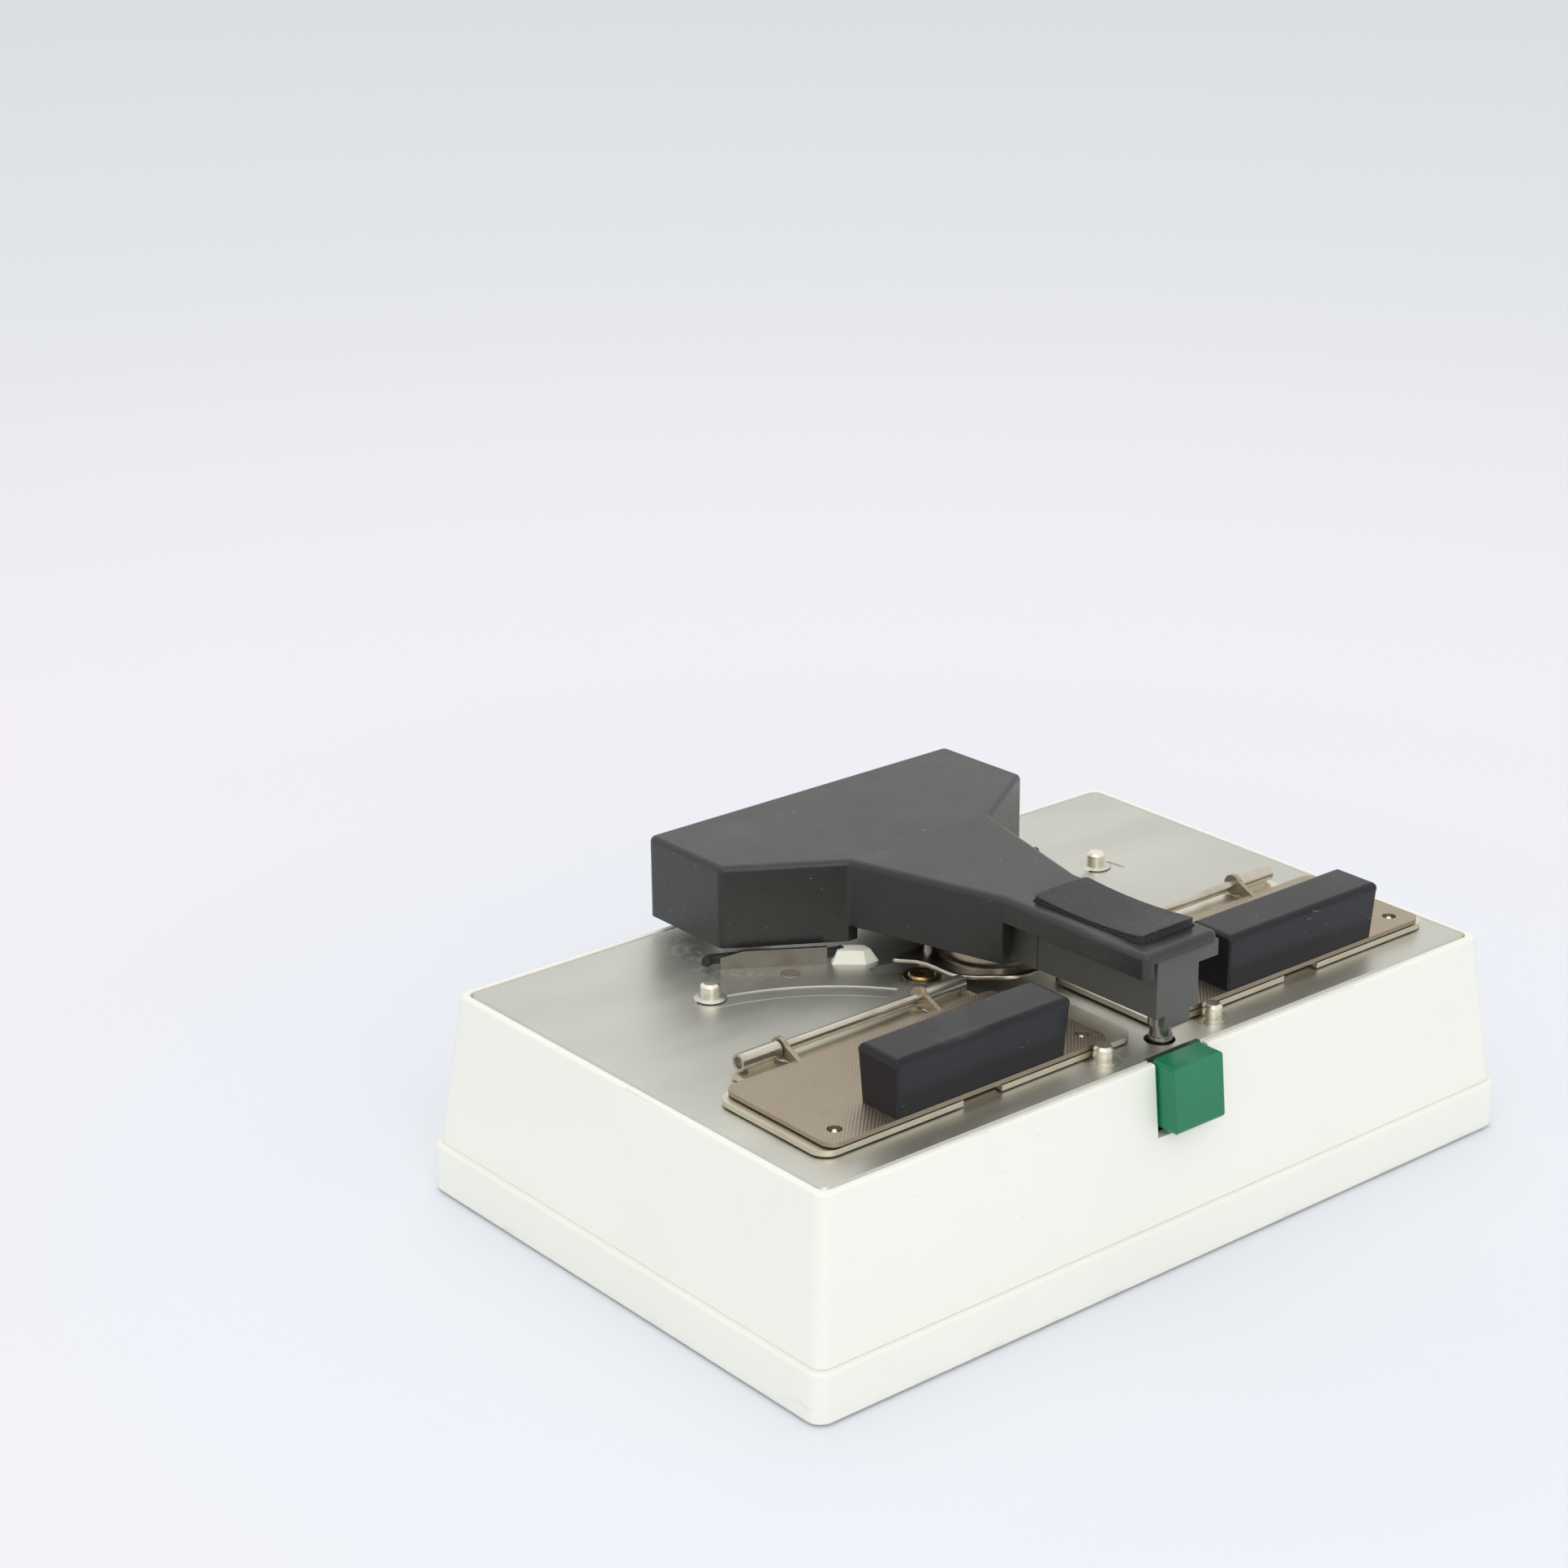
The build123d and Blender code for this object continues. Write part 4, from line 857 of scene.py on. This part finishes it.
# The guard from its bore, over the rim and back underneath: share of its width, height, share of the waver.
GUARD_BANDS: Profile = (
    (0.0, -GUARD_THICK, 0), (0.0, -0.05, 0), (0.02, 0.0, 0), (0.25, 0.0, 0.3), (0.5, 0.0, 0.7), (0.75, 0.02, 1),
    (0.93, 0.05, 1), (0.975, 0.02, 1), (1.0, -0.12, 1), (1.0, -0.56, 1), (0.98, -0.62, 1), (0.955, -0.56, 1),
    (0.95, -GUARD_THICK - 0.02, 1), (0.7, -GUARD_THICK, 1), (0.3, -GUARD_THICK, 0.4), (0.0, -GUARD_THICK, 0))
# Radius and height of a stem that carries the guard.
STEM_PROFILE: Profile = ((0.5, 44.75), (0.9, 44.9), (0.9, 45.6), (0.8, 45.8), (0.8, 56.8), (0.6, 57.0))


@dataclass
class Head(Assembly):
    """Black head with its inner block, thumb pad, plunger and disc guard."""

    title: str = "head"
    pad_x: float = 2.5
    pad_half: tuple[float, float] = (7.0, 14.0)
    pad_middle: float = -33.5
    head_top: float = 61.38
    guard_top: float = 45.0
    guard_bore: float = 9.9
    stem_reach: float = 10.9
    stem_y: float = 4.5

    def thumb_pad(self) -> bpy.types.Object:
        """Rubber pad: rounded rectangles stacked up its side and drawn in over its top.

        The rings' heights follow a saddle that is low a third of the way back
        and rises to both ends, with a fine lip round the top edge.
        """
        half_x, half_y = self.pad_half
        steps = [*PAD_RINGS, *((-inset, 0.0, 1) for inset in np.linspace(1.0, half_x, 14))]
        rings = []
        for out, rise, follows in steps:
            corner = max(min(0.9 + out, half_x + out), 0.0)
            ring = Surface.rounded_rectangle(half_x + out, half_y + out, corner, 9)
            ring = self._denser(ring, 6)
            t = (ring[:, 1] + half_y) / (2 * half_y)
            saddle = 1.62 - 3.5 * t + 3.2 * t**2
            crown = 0.12 * (1 - (ring[:, 0] / half_x) ** 2)
            height = self.head_top + rise + follows * (saddle + crown)
            rings.append(np.stack([self.pad_x + ring[:, 0], self.pad_middle + ring[:, 1], height], -1))
        return Surface.piece("thumb_pad_skin", Surface.head_rest(np.array(rings)))

    @staticmethod
    def _denser(ring: np.ndarray, times: int) -> np.ndarray:
        """The same closed outline with every side divided into equal parts."""
        after = np.roll(ring, -1, axis=0)
        share = np.linspace(0, 1, times, endpoint=False)[None, :, None]
        return (ring[:, None, :] * (1 - share) + after[:, None, :] * share).reshape(-1, 2)

    def guard(self) -> bpy.types.Object:
        """Steel guard round the disc: a thin leaf with a tail, its rim bent down.

        The outer edge is a radius given at angles about the spindle, the same on
        both sides, and rings of points run from the bore to it, over the rim
        and back underneath.
        """
        knots = np.array(GUARD_EDGE, float)
        angle = np.linspace(90, 270, 181)
        edge = np.interp(angle, knots[:, 0], knots[:, 1])
        kernel = np.array([1, 2, 3, 2, 1]) / 9
        edge = np.convolve(np.pad(edge, 2, mode="edge"), kernel, "valid")
        angle = np.concatenate([angle, 540 - angle[1:-1][::-1]])
        edge = np.concatenate([edge, edge[1:-1][::-1]])
        turn = np.radians(angle)
        wave = 0.13 * np.sin(3 * turn + 0.6) + 0.05 * np.sin(7 * turn)
        reach = edge - self.guard_bore
        rings = []
        for share, rise, waver in GUARD_BANDS:
            radius = self.guard_bore + reach * share
            rings.append(np.stack([MECH_X + radius * np.cos(turn), SPINDLE_Y + radius * np.sin(turn),
                                   self.guard_top + rise + waver * wave], -1))
        return Surface.piece("disc_guard", np.array(rings), capped=False)

    def guard_stems(self) -> list[bpy.types.Object]:
        """Two turned stems that carry the guard, the left one first."""
        places = ((Side.LEFT, MECH_X - self.stem_reach), (Side.RIGHT, MECH_X + self.stem_reach))
        return [Surface.post(f"{side.value}_guard_stem", x, self.stem_y, STEM_PROFILE) for side, x in places]

    def build(self) -> None:
        """Dresses the head and replaces its soft and sheet pieces with shaped ones."""
        self.dress(HEAD_PLASTIC, "head_cover")
        self.dress(INNER_PLASTIC, "head_chassis")
        self.dress(PLUNGER_STEEL, "plunger")
        self.dress(SCREW_STEEL, "head_screws")
        pad = self.add(self.thumb_pad(), "head", PAD_RUBBER, "pad_rubber")
        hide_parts("thumb_pad")
        self.dress(PAD_RUBBER, "thumb_pad")
        guard = self.add(self.guard(), "head", LEAF_STEEL, "wall_steel")
        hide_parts("leaf_guard")
        self.dress(LEAF_STEEL, "leaf_guard")
        for stem in self.guard_stems():
            self.add(stem, "head", PLUNGER_STEEL, "wall_steel")


@dataclass
class DriveTrain(Assembly):
    """Motor, friction wheels, spindle and grinding disc inside the head."""

    title: str = "drive"

    def build(self) -> None:
        """Dresses the drive."""
        self.dress(MOTOR_STEEL, "drive_motor")
        self.dress(INNER_STEEL, "motor_posts", "idler_stud", "disc_spindle")
        self.dress(BRASS, "spindle_bearing", "motor_roller")
        self.dress(DRIVE_RUBBER, "friction_wheel", "idler_wheel")
        self.dress(DISC, "grinding_disc")


@dataclass
class KeyAndSwitch(Assembly):
    """Green key with its slide, and the switch under the plunger."""

    title: str = "key and switch"

    def build(self) -> None:
        """Dresses the key and the switch."""
        self.dress(KEY_PLASTIC, "green_key")
        self.dress(INNER_STEEL, "latch_plate", "latch_guide", "switch_bracket")
        self.dress(BODY_PLASTIC, "micro_switch")
        self.dress(SWITCH_PLASTIC, "switch_button")


@dataclass
class BatteryCompartment(Assembly):
    """Tray, cells, contacts and door in the base."""

    title: str = "battery compartment"

    def build(self) -> None:
        """Dresses the compartment."""
        self.dress(TRAY_PLASTIC, "battery_tray")
        self.dress(CELLS, "battery_cells")
        self.dress(CONTACT_METAL, "battery_contacts")
        self.dress(DOOR_PLASTIC, "battery_door")


# ---------------------------------------------------------------- surroundings

@dataclass(frozen=True)
class PaleFloor(Finish):
    """Matt pale floor with painted light falloff: a slightly lighter, warmer ring round the object and darker
    far from it.
    """

    # tints of the painted light falloff: a lighter ring, then darker far off
    ring: Colour = (0.84, 0.82, 0.88)
    far: Colour = (0.75, 0.78, 0.83)
    to_ring: tuple[float, float] = (120.0, 330.0)
    to_far: tuple[float, float] = (340.0, 950.0)

    def lay(self, recipe: Recipe) -> None:
        """Three pale tints blended by distance from the middle, as painted light falloff."""
        x, y = recipe.axis("X"), recipe.axis("Y")
        away = (x * x + y * y) ** 0.5
        colour = recipe.mix(away.span(*self.to_ring), self.colour, self.ring)
        colour = recipe.mix(away.span(*self.to_far), colour, self.far)
        recipe.surface(Base_Color=colour, Roughness=0.9 + (recipe.clouds(40.0, 2.0) - 0.5) * 0.05,
                       Normal=recipe.relief(recipe.clouds(0.6, 2.0), 0.004))


def standing(right: np.ndarray, up: np.ndarray, back: np.ndarray, at: np.ndarray) -> Matrix:
    """Matrix of a lamp or camera from its three axes and its place in metres."""
    rows = np.eye(4)
    rows[:3, 0], rows[:3, 1], rows[:3, 2], rows[:3, 3] = right, up, back, at
    return Matrix(rows.tolist())


@dataclass(frozen=True)
class Lamp:
    """Square soft lamp that looks at the object; its place and side are in metres."""

    name: str
    place: tuple[float, float, float]
    size: float
    watts: float
    tint: Colour

    def hang(self) -> None:
        """Adds the lamp to the scene."""
        light = bpy.data.lights.new(self.name, "AREA")
        light.shape = "SQUARE"
        light.size = self.size
        light.energy = self.watts
        light.color = self.tint
        at = np.array(self.place)
        back = at / np.linalg.norm(at)
        right = np.cross([0.0, 0.0, 1.0], back)
        right /= np.linalg.norm(right)
        made = bpy.data.objects.new(self.name, light)
        made.matrix_world = standing(right, np.cross(back, right), back, at)
        bpy.context.scene.collection.objects.link(made)


PALE_FLOOR = PaleFloor("pale floor", (0.79, 0.82, 0.88))
LAMPS = (Lamp("key", (-0.7, -0.5, 1.3), 0.9, 2.6, (1.0, 0.985, 0.96)),
         Lamp("top", (0.3, 0.5, 1.5), 1.1, 2.4, (1.0, 0.99, 0.98)),
         Lamp("front", (-0.5, -1.2, 0.55), 0.8, 1.7, (1.0, 0.99, 0.97)),
         Lamp("glint", (-0.45, -1.1, 1.1), 0.22, 0.9, (1.0, 1.0, 0.99)))


@dataclass
class Studio:
    """Floor, lamps, surroundings and camera. Places are in metres and angles in degrees."""

    floor_radius: float = 9.0
    floor_height: float = -0.02 * MM
    sky: Colour = (1.0, 0.995, 0.985)
    sky_strength: float = 0.88
    eye: tuple[float, float, float] = (-0.40819, -0.42957, 0.30379)
    yaw: float = -39.901
    pitch: float = 20.816
    roll: float = -0.060
    lens: float = 76.37
    sensor: float = 36.0

    def floor(self) -> None:
        """Flat round floor: rings of points that widen by equal ratios."""
        radius = np.concatenate([[0.004], np.geomspace(0.05, self.floor_radius, 40)])[:, None]
        angle = np.linspace(0, 2 * math.pi, 96, endpoint=False)
        points = np.stack([radius * np.cos(angle), radius * np.sin(angle),
                           self.floor_height + 0 * radius * angle], -1)
        rows, columns = points.shape[:2]
        mesh = bpy.data.meshes.new("floor")
        faces = Surface.grid_faces(rows, columns, True)[:, ::-1].tolist()
        faces.append(list(range(columns)))
        mesh.from_pydata(points.reshape(-1, 3).tolist(), [], faces)
        if mesh.polygons[0].normal.z < 0:
            mesh.flip_normals()
        made = bpy.data.objects.new("floor", mesh)
        bpy.context.scene.collection.objects.link(made)
        made.data.materials.append(PALE_FLOOR.material())

    def surroundings(self) -> None:
        """Even pale light from all round."""
        world = bpy.data.worlds.new("pale room")
        recipe = Recipe(world)
        back = recipe.node("ShaderNodeBackground", {}, {0: self.sky, 1: self.sky_strength})
        recipe.node("ShaderNodeOutputWorld", {}, {0: back.outputs[0]})
        bpy.context.scene.world = world

    def camera(self) -> None:
        """Camera at the photograph's place and angle."""
        yaw, pitch, roll = (math.radians(v) for v in (self.yaw, self.pitch, self.roll))
        right = np.array([math.cos(yaw), math.sin(yaw), 0.0])
        back = np.array([math.sin(yaw) * math.cos(pitch), -math.cos(yaw) * math.cos(pitch), math.sin(pitch)])
        up = np.cross(back, right)
        across = math.cos(roll) * right + math.sin(roll) * up
        upward = -math.sin(roll) * right + math.cos(roll) * up
        data = bpy.data.cameras.new("camera")
        data.sensor_width = self.sensor
        data.lens = self.lens
        data.clip_start, data.clip_end = 0.02, 50.0
        made = bpy.data.objects.new("camera", data)
        made.matrix_world = standing(across, upward, back, np.array(self.eye))
        bpy.context.scene.collection.objects.link(made)
        bpy.context.scene.camera = made

    def build(self) -> None:
        """Sets the scene up."""
        bpy.context.scene.view_settings.view_transform = "Standard"
        self.floor()
        self.surroundings()
        for lamp in LAMPS:
            lamp.hang()
        self.camera()


def main() -> None:
    """Builds the splicer, sub-assembly by sub-assembly, and the room round it."""
    logging.basicConfig(level=logging.INFO, format="%(name)s %(message)s")
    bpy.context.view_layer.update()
    assemblies: list[Assembly] = [
        Case(), FilmGuides(), FilmHolder(side=Side.LEFT), FilmHolder(side=Side.RIGHT),
        Head(), DriveTrain(), KeyAndSwitch(), BatteryCompartment()]
    for assembly in assemblies:
        assembly.build()
        assembly.report()
    bare = sorted(set(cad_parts) - {name for assembly in assemblies for name in assembly.done})
    LOG.info("nodes without a finish: %s", bare or "none")
    Studio().build()


if __name__ == "__main__":
    main()
